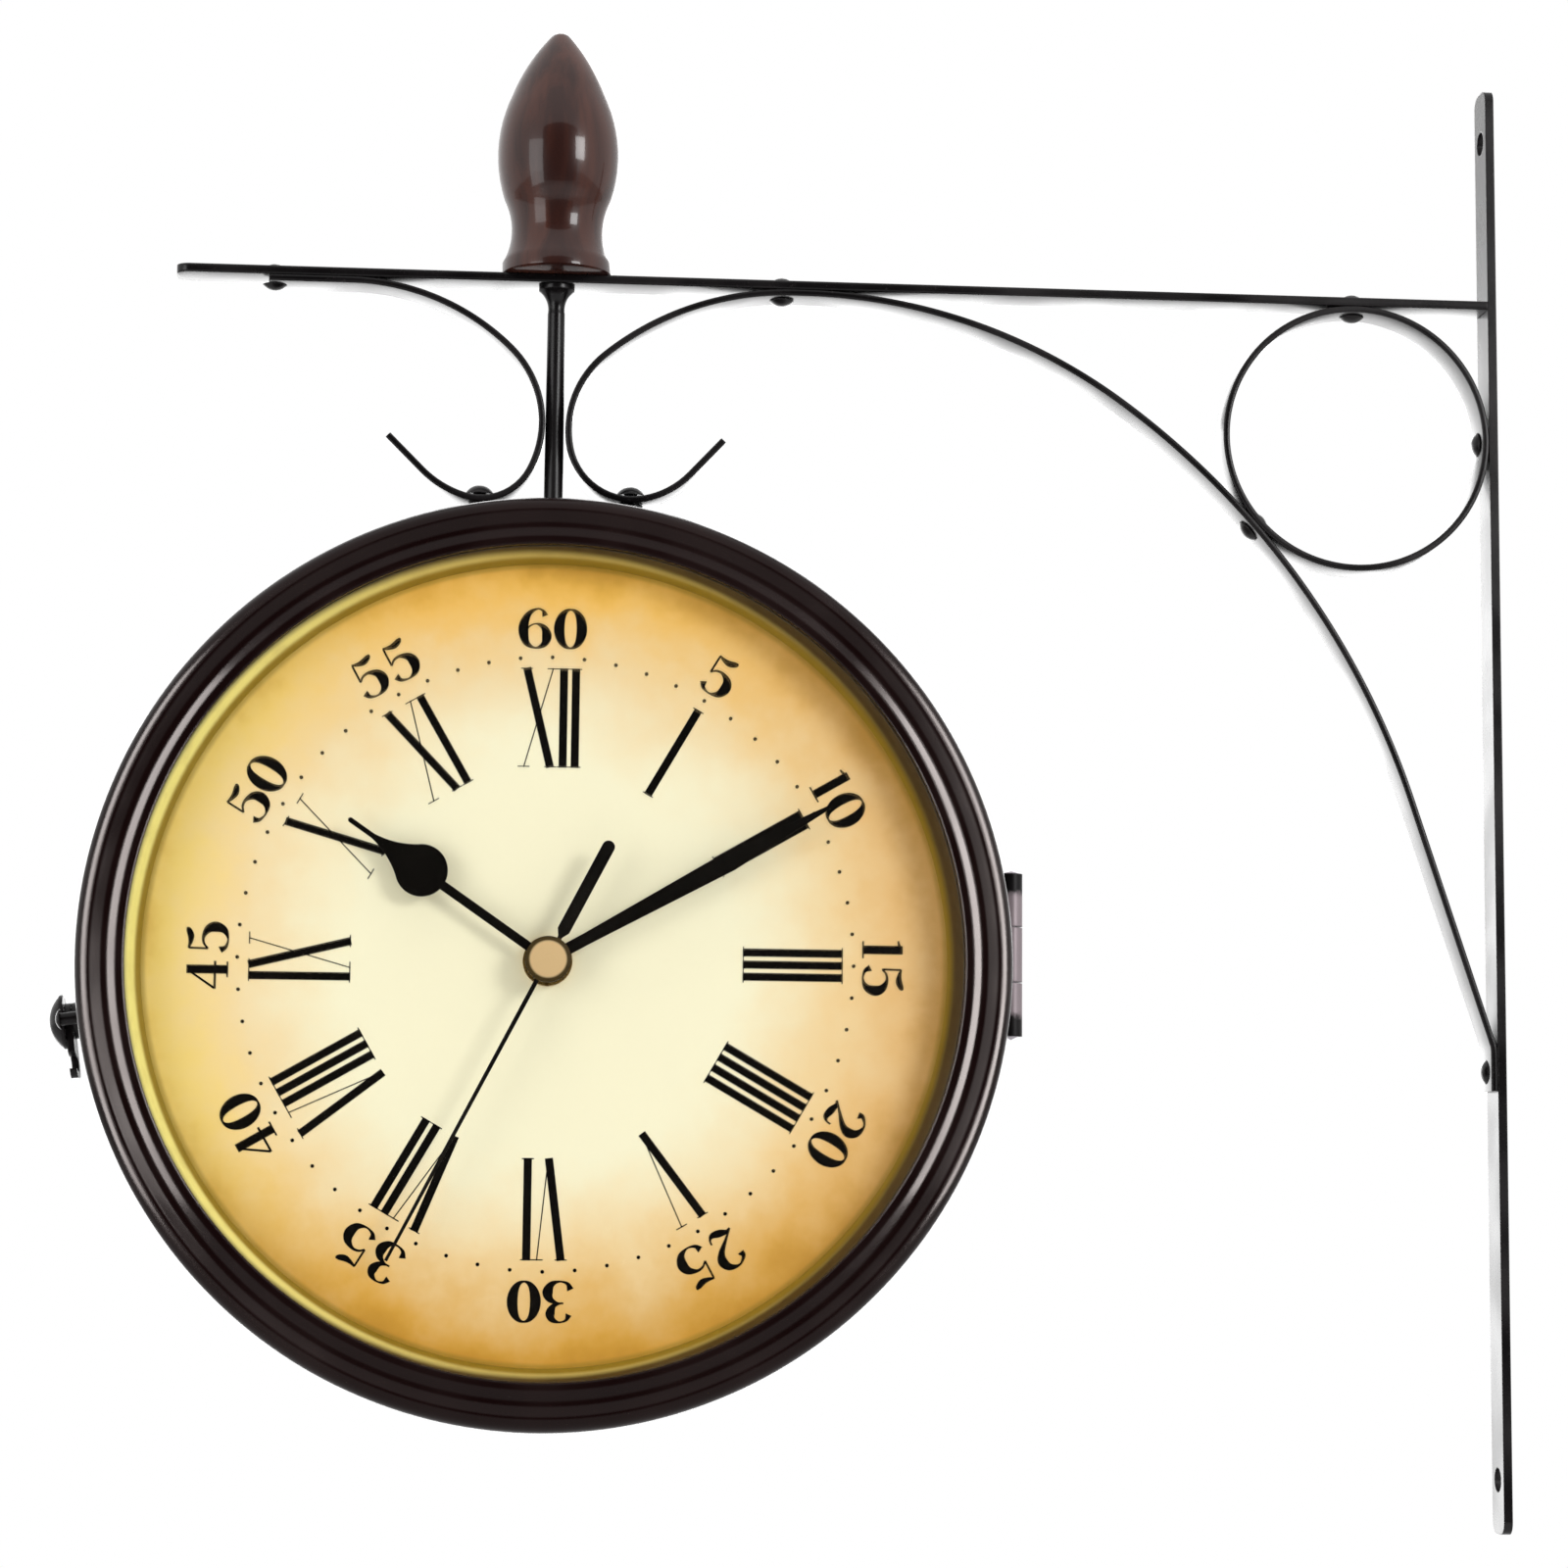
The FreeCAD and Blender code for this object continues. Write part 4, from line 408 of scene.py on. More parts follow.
def mixed(tree, share, one, two):
    """Colour between two colours, by a share of 0 to 1."""
    one, two = (v if isinstance(v, bpy.types.NodeSocket) else (*v[:3], 1.0) for v in (one, two))
    return put(tree, "ShaderNodeMix", {0: share, 6: one, 7: two}, data_type="RGBA").outputs[2]


def spread(tree, value, low, high, to_low=0.0, to_high=1.0):
    """Value between two limits, spread smoothly over another two."""
    return put(tree, "ShaderNodeMapRange", {"Value": value, "From Min": low, "From Max": high,
                                            "To Min": to_low, "To Max": to_high},
               interpolation_type="SMOOTHSTEP").outputs["Result"]


def noise(tree, place, scale, detail=3.0, roughness=0.55, distortion=0.0):
    """Soft random value of 0 to 1 at a place."""
    return put(tree, "ShaderNodeTexNoise", {"Vector": place, "Scale": scale, "Detail": detail,
                                            "Roughness": roughness, "Distortion": distortion}
               ).outputs["Fac"]


def new_group(name, inputs, outputs):
    """Empty node group with its named sockets: returns the tree, its input node and its output
    node. Each input is (name, socket type, default)."""
    tree = bpy.data.node_groups.new(name, "ShaderNodeTree")
    for label, kind, default in inputs:
        socket = tree.interface.new_socket(label, in_out="INPUT", socket_type=kind)
        if default is not None:
            socket.default_value = default
    for label, kind in outputs:
        tree.interface.new_socket(label, in_out="OUTPUT", socket_type=kind)
    return tree, tree.nodes.new("NodeGroupInput"), tree.nodes.new("NodeGroupOutput")


def close_group(tree, out, **sockets):
    """Links the named sockets to the group's outputs and returns the group."""
    for label, socket in sockets.items():
        tree.links.new(socket, out.inputs[label.replace("_", " ")])
    return tree


FLOAT, COLOUR, VECTOR = "NodeSocketFloat", "NodeSocketColor", "NodeSocketVector"


def paint_group():
    """Paint on metal: a slow drift of tone, fine orange peel, and rubbed places along edges.

    The rubbed mask is where a rounded copy of the surface's normal leaves the true one, broken
    up by noise. Height is fine noise plus slow waves.
    """
    tree, given, out = new_group(
        "Painted metal", [("Colour", COLOUR, None), ("Worn colour", COLOUR, None),
                          ("Scale", FLOAT, 300.0), ("Rubbed", FLOAT, 0.3),
                          ("Edge width", FLOAT, 0.0006), ("Gloss", FLOAT, 0.3)],
        [("Colour", COLOUR), ("Roughness", FLOAT), ("Height", FLOAT), ("Soft normal", VECTOR)])
    place = put(tree, "ShaderNodeTexCoord").outputs["Object"]
    g = given.outputs
    slow = noise(tree, place, 38.0, 2.0)
    fine = noise(tree, place, g["Scale"], 3.0)
    speck = noise(tree, place, 1400.0, 2.0)
    soft = put(tree, "ShaderNodeBevel", {"Radius": g["Edge width"]}, samples=4).outputs[0]
    true = put(tree, "ShaderNodeNewGeometry").outputs["Normal"]
    alike = put(tree, "ShaderNodeVectorMath", {0: soft, 1: true}, operation="DOT_PRODUCT").outputs[1]
    edge = spread(tree, maths(tree, "SUBTRACT", 1.0, alike), 0.015, 0.16)
    broken = maths(tree, "MULTIPLY", edge, spread(tree, fine, 0.42, 0.66))
    rubbed = maths(tree, "MULTIPLY", broken, g["Rubbed"], clamp=True)
    drift = maths(tree, "MULTIPLY", spread(tree, slow, 0.3, 0.7), 0.35)
    paler = mixed(tree, 0.16, g["Colour"], g["Worn colour"])
    tone = mixed(tree, drift, g["Colour"], paler)
    dusted = mixed(tree, maths(tree, "MULTIPLY", spread(tree, speck, 0.62, 0.8), 0.10), tone,
                   g["Worn colour"])
    painted = mixed(tree, rubbed, dusted, g["Worn colour"])
    rough = maths(tree, "ADD", g["Gloss"], spread(tree, slow, 0.3, 0.7, -0.05, 0.09))
    rough = maths(tree, "ADD", rough, maths(tree, "MULTIPLY", rubbed, 0.2), clamp=True)
    height = maths(tree, "ADD", fine, maths(tree, "MULTIPLY", slow, 2.0))
    return close_group(tree, out, Colour=painted, Roughness=rough, Height=height, Soft_normal=soft)


def axis_group():
    """Place on a face: distance from the clock's axis, and how far right and up of it, in mm.

    The rear face is turned half a turn, so Side changes sign there.
    """
    tree, given, out = new_group("Place on the face", [("Turned", FLOAT, 1.0)],
                                 [("Distance", FLOAT), ("Side", FLOAT), ("Height", FLOAT)])
    place = put(tree, "ShaderNodeTexCoord").outputs["Object"]
    moved = put(tree, "ShaderNodeVectorMath", {0: place, 1: tuple(v / 1000 for v in CENTRE_MM)},
                operation="SUBTRACT").outputs[0]
    flat = put(tree, "ShaderNodeVectorMath", {0: moved, 1: (1000.0, 0.0, 1000.0)},
               operation="MULTIPLY").outputs[0]
    distance = put(tree, "ShaderNodeVectorMath", {0: flat}, operation="LENGTH").outputs["Value"]
    parts = put(tree, "ShaderNodeSeparateXYZ", {0: flat})
    side = maths(tree, "MULTIPLY", parts.outputs[0], given.outputs["Turned"])
    return close_group(tree, out, Distance=distance, Side=side, Height=parts.outputs[2])


def grain_group():
    """Long grain: noise squeezed across and stretched along one direction, in two scales."""
    tree, given, out = new_group(
        "Long grain", [("Stretch", VECTOR, (90.0, 90.0, 8.0)), ("Fineness", FLOAT, 4.0)],
        [("Mask", FLOAT), ("Height", FLOAT)])
    place = put(tree, "ShaderNodeTexCoord").outputs["Object"]
    long = put(tree, "ShaderNodeVectorMath", {0: place, 1: given.outputs["Stretch"]},
               operation="MULTIPLY").outputs[0]
    broad = noise(tree, long, 1.0, 3.0, 0.6, 0.4)
    thin = noise(tree, long, given.outputs["Fineness"], 2.0)
    mask = spread(tree, broad, 0.36, 0.66)
    height = maths(tree, "ADD", maths(tree, "MULTIPLY", broad, 0.5), thin)
    return close_group(tree, out, Mask=mask, Height=height)


def moulding_group():
    """Moulded plastic: a fine spark-eroded texture and slight clouding."""
    tree, given, out = new_group(
        "Moulded plastic", [("Colour", COLOUR, None), ("Scale", FLOAT, 2200.0)],
        [("Colour", COLOUR), ("Roughness", FLOAT), ("Height", FLOAT)])
    place = put(tree, "ShaderNodeTexCoord").outputs["Object"]
    fine = noise(tree, place, given.outputs["Scale"], 1.0)
    cloud = noise(tree, place, 120.0, 2.0)
    darker = mixed(tree, 0.25, given.outputs["Colour"], (0.0, 0.0, 0.0))
    tone = mixed(tree, spread(tree, cloud, 0.3, 0.75), given.outputs["Colour"], darker)
    rough = spread(tree, fine, 0.2, 0.8, 0.42, 0.6)
    return close_group(tree, out, Colour=tone, Roughness=rough, Height=fine)


def group_in(tree, name, inputs):
    """Places a shared group in a material with its own values and returns its outputs."""
    made = put(tree, "ShaderNodeGroup", node_tree=bpy.data.node_groups[name])
    for label, value in inputs.items():
        socket = made.inputs[label]
        if isinstance(value, bpy.types.NodeSocket):
            tree.links.new(value, socket)
        elif socket.type == "RGBA":
            socket.default_value = (*value[:3], 1.0)
        else:
            socket.default_value = value
    return made.outputs


def new_material(name, **plain):
    """Material with its Principled shader, whose plain values are set on its own sockets."""
    material = bpy.data.materials.new(name)
    material.use_nodes = True
    tree = material.node_tree
    shader = next(n for n in tree.nodes if n.type == "BSDF_PRINCIPLED")
    for label, value in plain.items():
        shader.inputs[label.replace("_", " ")].default_value = value
    return material, tree, shader


def feed(tree, shader, **sockets):
    """Links the named sockets to the shader's inputs."""
    for label, socket in sockets.items():
        tree.links.new(socket, shader.inputs[label.replace("_", " ")])


def bumped(tree, height, strength, distance, normal=None):
    """Normal moved by a height, over a plain or a rounded normal."""
    inputs = {"Height": height, "Strength": strength, "Distance": distance}
    if normal is not None:
        inputs["Normal"] = normal
    return put(tree, "ShaderNodeBump", inputs).outputs[0]


def painted(name, base, worn, gloss, rubbed=0.3, scale=300.0, edge=0.0006, bump=0.25, depth=0.00004,
            **plain):
    """Painted metal: the group's colour, roughness and bump on one Principled shader."""
    material, tree, shader = new_material(name, **plain)
    got = group_in(tree, "Painted metal", {"Colour": base, "Worn colour": worn, "Scale": scale,
                                           "Rubbed": rubbed, "Edge width": edge, "Gloss": gloss})
    normal = bumped(tree, got["Height"], bump, depth, got["Soft normal"])
    feed(tree, shader, Base_Color=got["Colour"], Roughness=got["Roughness"], Normal=normal)
    return material


def moulded(name, base, scale=2200.0, **plain):
    """Moulded plastic: the group's colour, roughness and bump on one Principled shader."""
    material, tree, shader = new_material(name, **plain)
    got = group_in(tree, "Moulded plastic", {"Colour": base, "Scale": scale})
    feed(tree, shader, Base_Color=got["Colour"], Roughness=got["Roughness"],
         Normal=bumped(tree, got["Height"], 0.3, 0.00002))
    return material


def worn_hinge(colours):
    """Hinge whose pale mauve-grey is a painted reflection of the bright studio, with black bands of its own
    paint about 12 to 19.5 mm from the barrel's middle.

    The bands' mask is the distance along the barrel from its middle, moved by noise.
    """
    material, tree, shader = new_material("hinge_plate", Metallic=0.35, Specular_IOR_Level=0.3)
    at = group_in(tree, "Place on the face", {"Turned": 1.0})
    got = group_in(tree, "Painted metal", {"Colour": colours.hinge, "Worn colour": colours.iron_worn,
                                           "Scale": 600.0, "Rubbed": 0.4, "Edge width": 0.0004,
                                           "Gloss": 0.42})
    # painted reflection: the pale colour covers the hinge except black bands of its own paint about 12 to
    # 19.5 mm from the barrel's middle
    along = maths(tree, "ABSOLUTE", maths(tree, "SUBTRACT", at["Height"], BARREL_MIDDLE))
    along = maths(tree, "ADD", along, spread(tree, got["Height"], 0.6, 2.4, -1.5, 1.5))
    black = maths(tree, "SUBTRACT", spread(tree, along, 12.0, 14.0), spread(tree, along, 18.0, 19.5))
    tone = mixed(tree, black, got["Colour"], colours.case)
    feed(tree, shader, Base_Color=tone, Roughness=got["Roughness"],
         Normal=bumped(tree, got["Height"], 0.3, 0.00005, got["Soft normal"]))
    return material


def lacquered_wood(colours):
    """Gloss lacquer over turned wood, with darker streaks that run up the finial."""
    material, tree, shader = new_material("finial_lacquer", Coat_Weight=0.5, Coat_Roughness=0.07,
                                          Specular_IOR_Level=0.2)
    got = group_in(tree, "Long grain", {"Stretch": (130.0, 130.0, 14.0), "Fineness": 5.0})
    tone = mixed(tree, got["Mask"], colours.lacquer, colours.lacquer_deep)
    rough = maths(tree, "MULTIPLY_ADD", got["Mask"], 0.12, 0.2)
    feed(tree, shader, Base_Color=tone, Roughness=rough,
         Normal=bumped(tree, got["Height"], 0.12, 0.00006))
    return material


def toasted_dial(colours, side):
    """Printed dial: cream middle, then tan and a toasted orange edge, all softly mottled.

    The share of toast is the distance from the axis, moved by the side that a point lies on
    and by noise of two sizes. The back of the dial is plain card.
    """
    material, tree, shader = new_material("dial_print_" + side, Specular_IOR_Level=0.25)
    at = group_in(tree, "Place on the face", {"Turned": 1.0 if side == "front" else -1.0})
    place = put(tree, "ShaderNodeTexCoord").outputs["Object"]
    blot = noise(tree, place, 34.0, 4.0, 0.6)
    mottle = noise(tree, place, 120.0, 4.0, 0.65)
    pull = maths(tree, "MULTIPLY_ADD", at["Side"], 0.035, maths(tree, "MULTIPLY", at["Height"], -0.01))
    reach = maths(tree, "ADD", at["Distance"], pull)
    reach = maths(tree, "ADD", reach, spread(tree, blot, 0.2, 0.8, -6.5, 6.5))
    reach = maths(tree, "ADD", reach, spread(tree, mottle, 0.2, 0.8, -2.0, 2.0))
    right = spread(tree, at["Side"], 10.0, 85.0)
    edge = mixed(tree, right, colours.dial_edge, colours.dial_tan)
    edge = mixed(tree, spread(tree, at["Side"], -25.0, -80.0), edge, colours.dial_gold)
    low = maths(tree, "MULTIPLY", spread(tree, at["Height"], -25.0, -75.0), 0.75)
    edge = mixed(tree, low, edge, colours.dial_low)
    tone = mixed(tree, spread(tree, reach, 40.0, 70.0), colours.dial_middle, colours.dial_ring)
    tone = mixed(tree, spread(tree, reach, 60.0, 88.0), tone, edge)
    scorched = maths(tree, "MULTIPLY", spread(tree, reach, 80.0, 94.0), 0.75)
    tone = mixed(tree, scorched, tone, colours.dial_deep)
    # painted shade: an olive line in the crease where the reveal ring meets the dial
    line = maths(tree, "MULTIPLY", spread(tree, at["Distance"], 86.2, 87.4), 0.5)
    tone = mixed(tree, line, tone, colours.reveal_line)
    depth = maths(tree, "ABSOLUTE", put(tree, "ShaderNodeSeparateXYZ", {0: place}).outputs[1])
    card = mixed(tree, spread(tree, blot, 0.3, 0.7), linear(198, 193, 182), linear(184, 178, 166))
    tone = mixed(tree, spread(tree, depth, 0.0254, 0.0252), tone, card)
    feed(tree, shader, Base_Color=tone, Roughness=spread(tree, mottle, 0.2, 0.8, 0.45, 0.6),
         Normal=bumped(tree, mottle, 0.1, 0.00003))
    return material


def sloping_reveal(colours, side):
    """Pale yellow ring with faint rub marks, and painted shade: dim over all but its left side, a dark band
    under the bezel's lip and an olive line in the crease at its foot.
    """
    material, tree, shader = new_material("reveal_paint_" + side, Specular_IOR_Level=0.4)
    at = group_in(tree, "Place on the face", {"Turned": 1.0 if side == "front" else -1.0})
    place = put(tree, "ShaderNodeTexCoord").outputs["Object"]
    rub = noise(tree, place, 160.0, 3.0)
    # painted shade: the ring dims from its left side towards its middle and right
    shade = maths(tree, "MULTIPLY", spread(tree, at["Side"], -75.0, 0.0), 0.75)
    tone = mixed(tree, shade, colours.reveal, colours.reveal_shade)
    # faint rub marks tint the ring towards the same shaded colour
    tone = mixed(tree, maths(tree, "MULTIPLY", spread(tree, rub, 0.45, 0.75), 0.25), tone,
                 colours.reveal_shade)
    # painted shade: the olive line in the crease at the ring's foot
    foot = spread(tree, at["Distance"], 89.0, 88.3)
    tone = mixed(tree, foot, tone, colours.reveal_line)
    # painted shade under the bezel's lip, reaching further down the ring on its right side
    lip = maths(tree, "MULTIPLY_ADD", at["Side"], 0.011, at["Distance"])
    tone = mixed(tree, spread(tree, lip, 88.7, 89.9), tone, colours.reveal_dark)
    feed(tree, shader, Base_Color=tone, Roughness=spread(tree, rub, 0.2, 0.8, 0.3, 0.45),
         Normal=bumped(tree, rub, 0.1, 0.00003))
    return material


def hand_and_cap(colours):
    """Black second hand whose cap has a tan face and a darker rim, by distance from the axis."""
    material, tree, shader = new_material("second_hand_paint", Specular_IOR_Level=0.15)
    at = group_in(tree, "Place on the face", {"Turned": 1.0})
    got = group_in(tree, "Painted metal", {"Colour": colours.ink, "Worn colour": colours.cap_rim,
                                           "Scale": 900.0, "Rubbed": 0.6, "Edge width": 0.0002,
                                           "Gloss": 0.35})
    face = mixed(tree, spread(tree, at["Distance"], 3.7, 4.3), colours.cap, colours.cap_rim)
    tone = mixed(tree, spread(tree, at["Distance"], 5.2, 5.1), got["Colour"], face)
    feed(tree, shader, Base_Color=tone, Roughness=got["Roughness"],
         Normal=bumped(tree, got["Height"], 0.15, 0.00003, got["Soft normal"]))
    return material


def printed_wrap():
    """Battery wrap in two plain bands, split by its place along the cell."""
    material, tree, shader = new_material("battery_wrap", Specular_IOR_Level=0.5)
    place = put(tree, "ShaderNodeTexCoord").outputs["Object"]
    parts = put(tree, "ShaderNodeSeparateXYZ", {0: place})
    along = maths(tree, "ADD", parts.outputs[0], -CENTRE_MM[0] / 1000)
    scuff = noise(tree, place, 420.0, 3.0)
    band = spread(tree, along, 0.0125, 0.0128)
    tone = mixed(tree, band, linear(28, 62, 52), linear(178, 128, 54))
    tone = mixed(tree, spread(tree, scuff, 0.6, 0.8, 0.0, 0.3), tone, linear(190, 190, 186))
    feed(tree, shader, Base_Color=tone, Roughness=spread(tree, scuff, 0.2, 0.8, 0.22, 0.4),
         Normal=bumped(tree, scuff, 0.1, 0.00002))
    return material


def wound_copper():
    """Enamelled wire: fine rings along the coil, and a faint drift of colour."""
    material, tree, shader = new_material("coil_wire", Metallic=0.85)
    place = put(tree, "ShaderNodeTexCoord").outputs["Object"]
    turns = put(tree, "ShaderNodeTexWave", {"Vector": place, "Scale": 2600.0, "Distortion": 0.4},
                bands_direction="X").outputs["Fac"]
    drift = noise(tree, place, 260.0, 2.0)
    tone = mixed(tree, spread(tree, drift, 0.3, 0.7), linear(184, 104, 58), linear(142, 70, 38))
    feed(tree, shader, Base_Color=tone, Roughness=spread(tree, drift, 0.2, 0.8, 0.25, 0.4),
         Normal=bumped(tree, turns, 0.6, 0.00005))
    return material


def clear_glass():
    """Thin clear glass: mostly let through, with a faint film that breaks up its reflections."""
    material, tree, shader = new_material("clock_glass", Transmission_Weight=1.0, IOR=1.45,
                                          Alpha=0.07)
    place = put(tree, "ShaderNodeTexCoord").outputs["Object"]
    film = noise(tree, place, 60.0, 3.0)
    feed(tree, shader, Roughness=spread(tree, film, 0.3, 0.8, 0.0, 0.04),
         Base_Color=mixed(tree, spread(tree, film, 0.3, 0.8), (0.97, 0.98, 0.98), (0.93, 0.95, 0.95)))
    return material


def turned_brass():
    """Brass with fine turning marks that change its tone and its gloss."""
    material, tree, shader = new_material("turned_brass", Metallic=1.0)
    place = put(tree, "ShaderNodeTexCoord").outputs["Object"]
    marks = noise(tree, place, 900.0, 2.0)
    tone = mixed(tree, spread(tree, marks, 0.3, 0.7), linear(205, 168, 96), linear(160, 122, 62))
    feed(tree, shader, Base_Color=tone, Roughness=spread(tree, marks, 0.2, 0.8, 0.22, 0.4),
         Normal=bumped(tree, marks, 0.15, 0.00002))
    return material


def studio_floor(colours):
    """Pale matt floor with slow clouding."""
    material, tree, shader = new_material("studio_floor", Specular_IOR_Level=0.2)
    place = put(tree, "ShaderNodeTexCoord").outputs["Object"]
    cloud = noise(tree, place, 3.0, 3.0)
    paler = tuple(min(1.0, v * 1.03) for v in colours.floor)
    feed(tree, shader, Base_Color=mixed(tree, spread(tree, cloud, 0.3, 0.7), tuple(colours.floor), paler),
         Roughness=spread(tree, cloud, 0.2, 0.8, 0.6, 0.75))
    return material


def dark_screen(colours):
    """Matt near-black cloth with slow clouding."""
    material, tree, shader = new_material("dark_screen", Specular_IOR_Level=0.0, Roughness=1.0)
    place = put(tree, "ShaderNodeTexCoord").outputs["Object"]
    feed(tree, shader, Base_Color=mixed(tree, noise(tree, place, 2.0), tuple(colours.flag), (0, 0, 0)))
    return material


def only_gloss(obj):
    """Leaves a lamp or screen visible in reflections and nowhere else."""
    obj.visible_camera = obj.visible_diffuse = obj.visible_transmission = False
    obj.visible_volume_scatter = False


def give(obj, material):
    """The material fills every slot of the object."""
    if not obj.data.materials:
        obj.data.materials.append(material)
    for index in range(len(obj.data.materials)):
        obj.data.materials[index] = material


# ================================================================ operators

class ClockOperator:
    """What every step of the clock shares"""
    bl_options = {"REGISTER"}

    @classmethod
    def poll(cls, context):
        return context.scene is not None


class CLOCK_OT_finishes(ClockOperator, bpy.types.Operator):
    """Make the shared effects and give every solid of the clock its material"""
    bl_idname = "clock.finishes"
    bl_label = "Finishes"

    def execute(self, context):
        c = context.scene.clock_colours
        for build in (paint_group, axis_group, grain_group, moulding_group):
            build()
        iron = painted("bracket_iron", c.iron, c.iron_worn, 0.26, rubbed=0.35, scale=420.0,
                       edge=0.0004, bump=0.3, depth=0.00005, Specular_IOR_Level=0.3)
        case = painted("case_gloss", c.case, c.iron_worn, 0.22, rubbed=0.15, scale=260.0,
                       bump=0.2, Specular_IOR_Level=0.2)
        painted("bezel_gloss", c.bezel, linear(70, 46, 42), 0.2, rubbed=0.12, scale=240.0, bump=0.12,
                Specular_IOR_Level=0.16, Specular_Tint=(1.0, 0.9, 0.87, 1.0))
        zinc = painted("zinc_plate", c.zinc, linear(96, 88, 92), 0.32, rubbed=0.5, scale=600.0,
                       edge=0.0004, bump=0.3, Metallic=0.9)
        ink = painted("hand_paint", c.ink, linear(50, 42, 34), 0.42, rubbed=0.15, scale=900.0,
                      edge=0.0002, bump=0.15, Specular_IOR_Level=0.06)
        hinge = worn_hinge(c)
        lacquered_wood(c)
        glass, brass, wrap, copper = clear_glass(), turned_brass(), printed_wrap(), wound_copper()
        black = moulded("movement_plastic", linear(34, 34, 36))
        pale = moulded("wheel_plastic", linear(232, 230, 218), Subsurface_Weight=0.1)
        finish = {"wall_bar": iron, "bracket_rivets": iron, "stem_tube": iron, "scroll_screws": iron,
                  "tie_rod": zinc, "inner_nuts": zinc, "hinge_leaf_fixed": hinge,
                  "hinge_leaf_door": hinge, "hinge_pin": zinc, "rear_bezel_screws": zinc,
                  "drum": case, "latch_plate": case, "latch_rivet": case, "latch_hook": case,
                  "latch_stud": case}
        seconds = hand_and_cap(c)
        for side in SIDES:
            own = {"glass": glass, "dial": toasted_dial(c, side), "movement_case": black,
                   "movement_back": black, "set_knob": black, "neck_nut": brass, "battery": wrap,
                   "motor_coil": copper, "hour_hand": ink, "minute_hand": ink,
                   "second_hand": seconds}
            own |= {w: pale for w in ("rotor", "intermediate_wheel", "second_wheel", "third_wheel",
                                      "centre_wheel", "minute_wheel", "hour_wheel")}
            finish |= {side + "_" + name: material for name, material in own.items()}
            sloping_reveal(c, side)
        for name, material in finish.items():
            give(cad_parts[name], material)
        return {"FINISHED"}


ARCH = ((126.0, -35.8), (182.3, -36.0))
ARCH_START, FOOT_BEND, FOOT_LENGTH = 57.0, 6.0, 9.0
RIGHT_SCROLL_START = 54.2
RIGHT_SCROLL = ((66.5, 40.2), (22.9, 61.5), (14.3, 89.3), (19.6, 36.0), (11.0, 0.0))
LEFT_SCROLL_START, LEFT_SCROLL_LAP = 46.7, 18.5
LEFT_SCROLL = ((52.4, -44.1), (24.0, -73.0), (12.5, -79.6), (22.9, -28.2), (11.0, 0.0))


class CLOCK_OT_bracket(ClockOperator, bpy.types.Operator):
    """Carry the flat bar's rounded section along the top bar, the arch, both scrolls and the ring"""
    bl_idname = "clock.bracket"
    bl_label = "Bracket"

    def execute(self, context):
        b = context.scene.clock_bracket
        line = b.arm_height - b.strip_thick / 2
        section = bar_section(b.strip_thick, b.bar_width, b.edge_round)

        # the arch's straight part is as long as it takes to meet the wall bar
        arch = bent((ARCH_START, line), 0, ARCH, b.step)
        fall = sum(turn_angle for _, turn_angle in ARCH)
        bend = FOOT_BEND * (1 - math.sin(math.radians(-fall)))
        straight = (b.wall_face - b.strip_thick / 2 - bend - arch[-1, 0]) / math.cos(math.radians(fall))
        runs = ((ARCH_START - RIGHT_SCROLL_START, 0),) + ARCH + (
            (straight, 0), (FOOT_BEND, -(90 + fall)), (FOOT_LENGTH, 0))
        start = (RIGHT_SCROLL_START, line)
        right = bent(start, 180, RIGHT_SCROLL, b.step)[::-1]
        brace = np.vstack([right[:-1], bent(start, 0, runs, b.step)])
        left = bent((-LEFT_SCROLL_START - LEFT_SCROLL_LAP, line), 0,
                    ((LEFT_SCROLL_LAP, 0),) + LEFT_SCROLL, b.step)

        # ring in the corner: it touches the top bar, the wall bar and the arch
        share = math.radians(-ARCH[0][1])
        rise = ARCH[0][0] - ARCH[1][0]
        middle = (ARCH_START + rise * math.sin(share), line - ARCH[0][0] + rise * math.cos(share))
        across, down = b.wall_face - middle[0], b.arm_height - middle[1]
        arch_edge = ARCH[1][0] + b.strip_thick / 2
        total = across + down + arch_edge
        radius = total - math.sqrt(total ** 2 - across ** 2 - down ** 2 + arch_edge ** 2)
        hoop = turned_ring(section + (radius - b.strip_thick / 2, 0), 240,
                           (b.wall_face - radius, b.arm_height - radius))

        # the top bar: its half width follows the rounded corners of its free end
        gap = np.array([0, 0.02, 0.08, 0.17, 0.3, 0.46, 0.64, 0.82, 1.0]) * b.end_round
        lost = b.end_round - np.sqrt(b.end_round ** 2 - (b.end_round - gap) ** 2)
        half = b.bar_width / 2
        run = np.linspace(b.end_round - b.arm_overhang, b.wall_face, 90)[1:]
        x = np.concatenate([gap - b.arm_overhang, run, (b.wall_face + 1e-3, b.reach)])
        widths = np.concatenate([1 - lost / half, np.ones(len(run)),
                                 [b.tenon_width / b.bar_width] * 2])
        path = np.stack([x, np.full(len(x), b.arm_height + b.bar_thick / 2)], -1)
        top = carried(path, bar_section(b.bar_thick, b.bar_width, b.edge_round), widths)

        pieces = (("top_bar_dressed", top, "top_bar"), ("ring_dressed", hoop, "ring"),
                  ("arch_brace_dressed", carried(brace, section), "arch_brace"),
                  ("left_scroll_dressed", carried(left, section), "left_scroll"))
        for name, shell, node in pieces:
            made = make_object(name, [shell])
            give(made, bpy.data.materials["bracket_iron"])
            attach(made, ROOT)
            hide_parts(node)
        return {"FINISHED"}


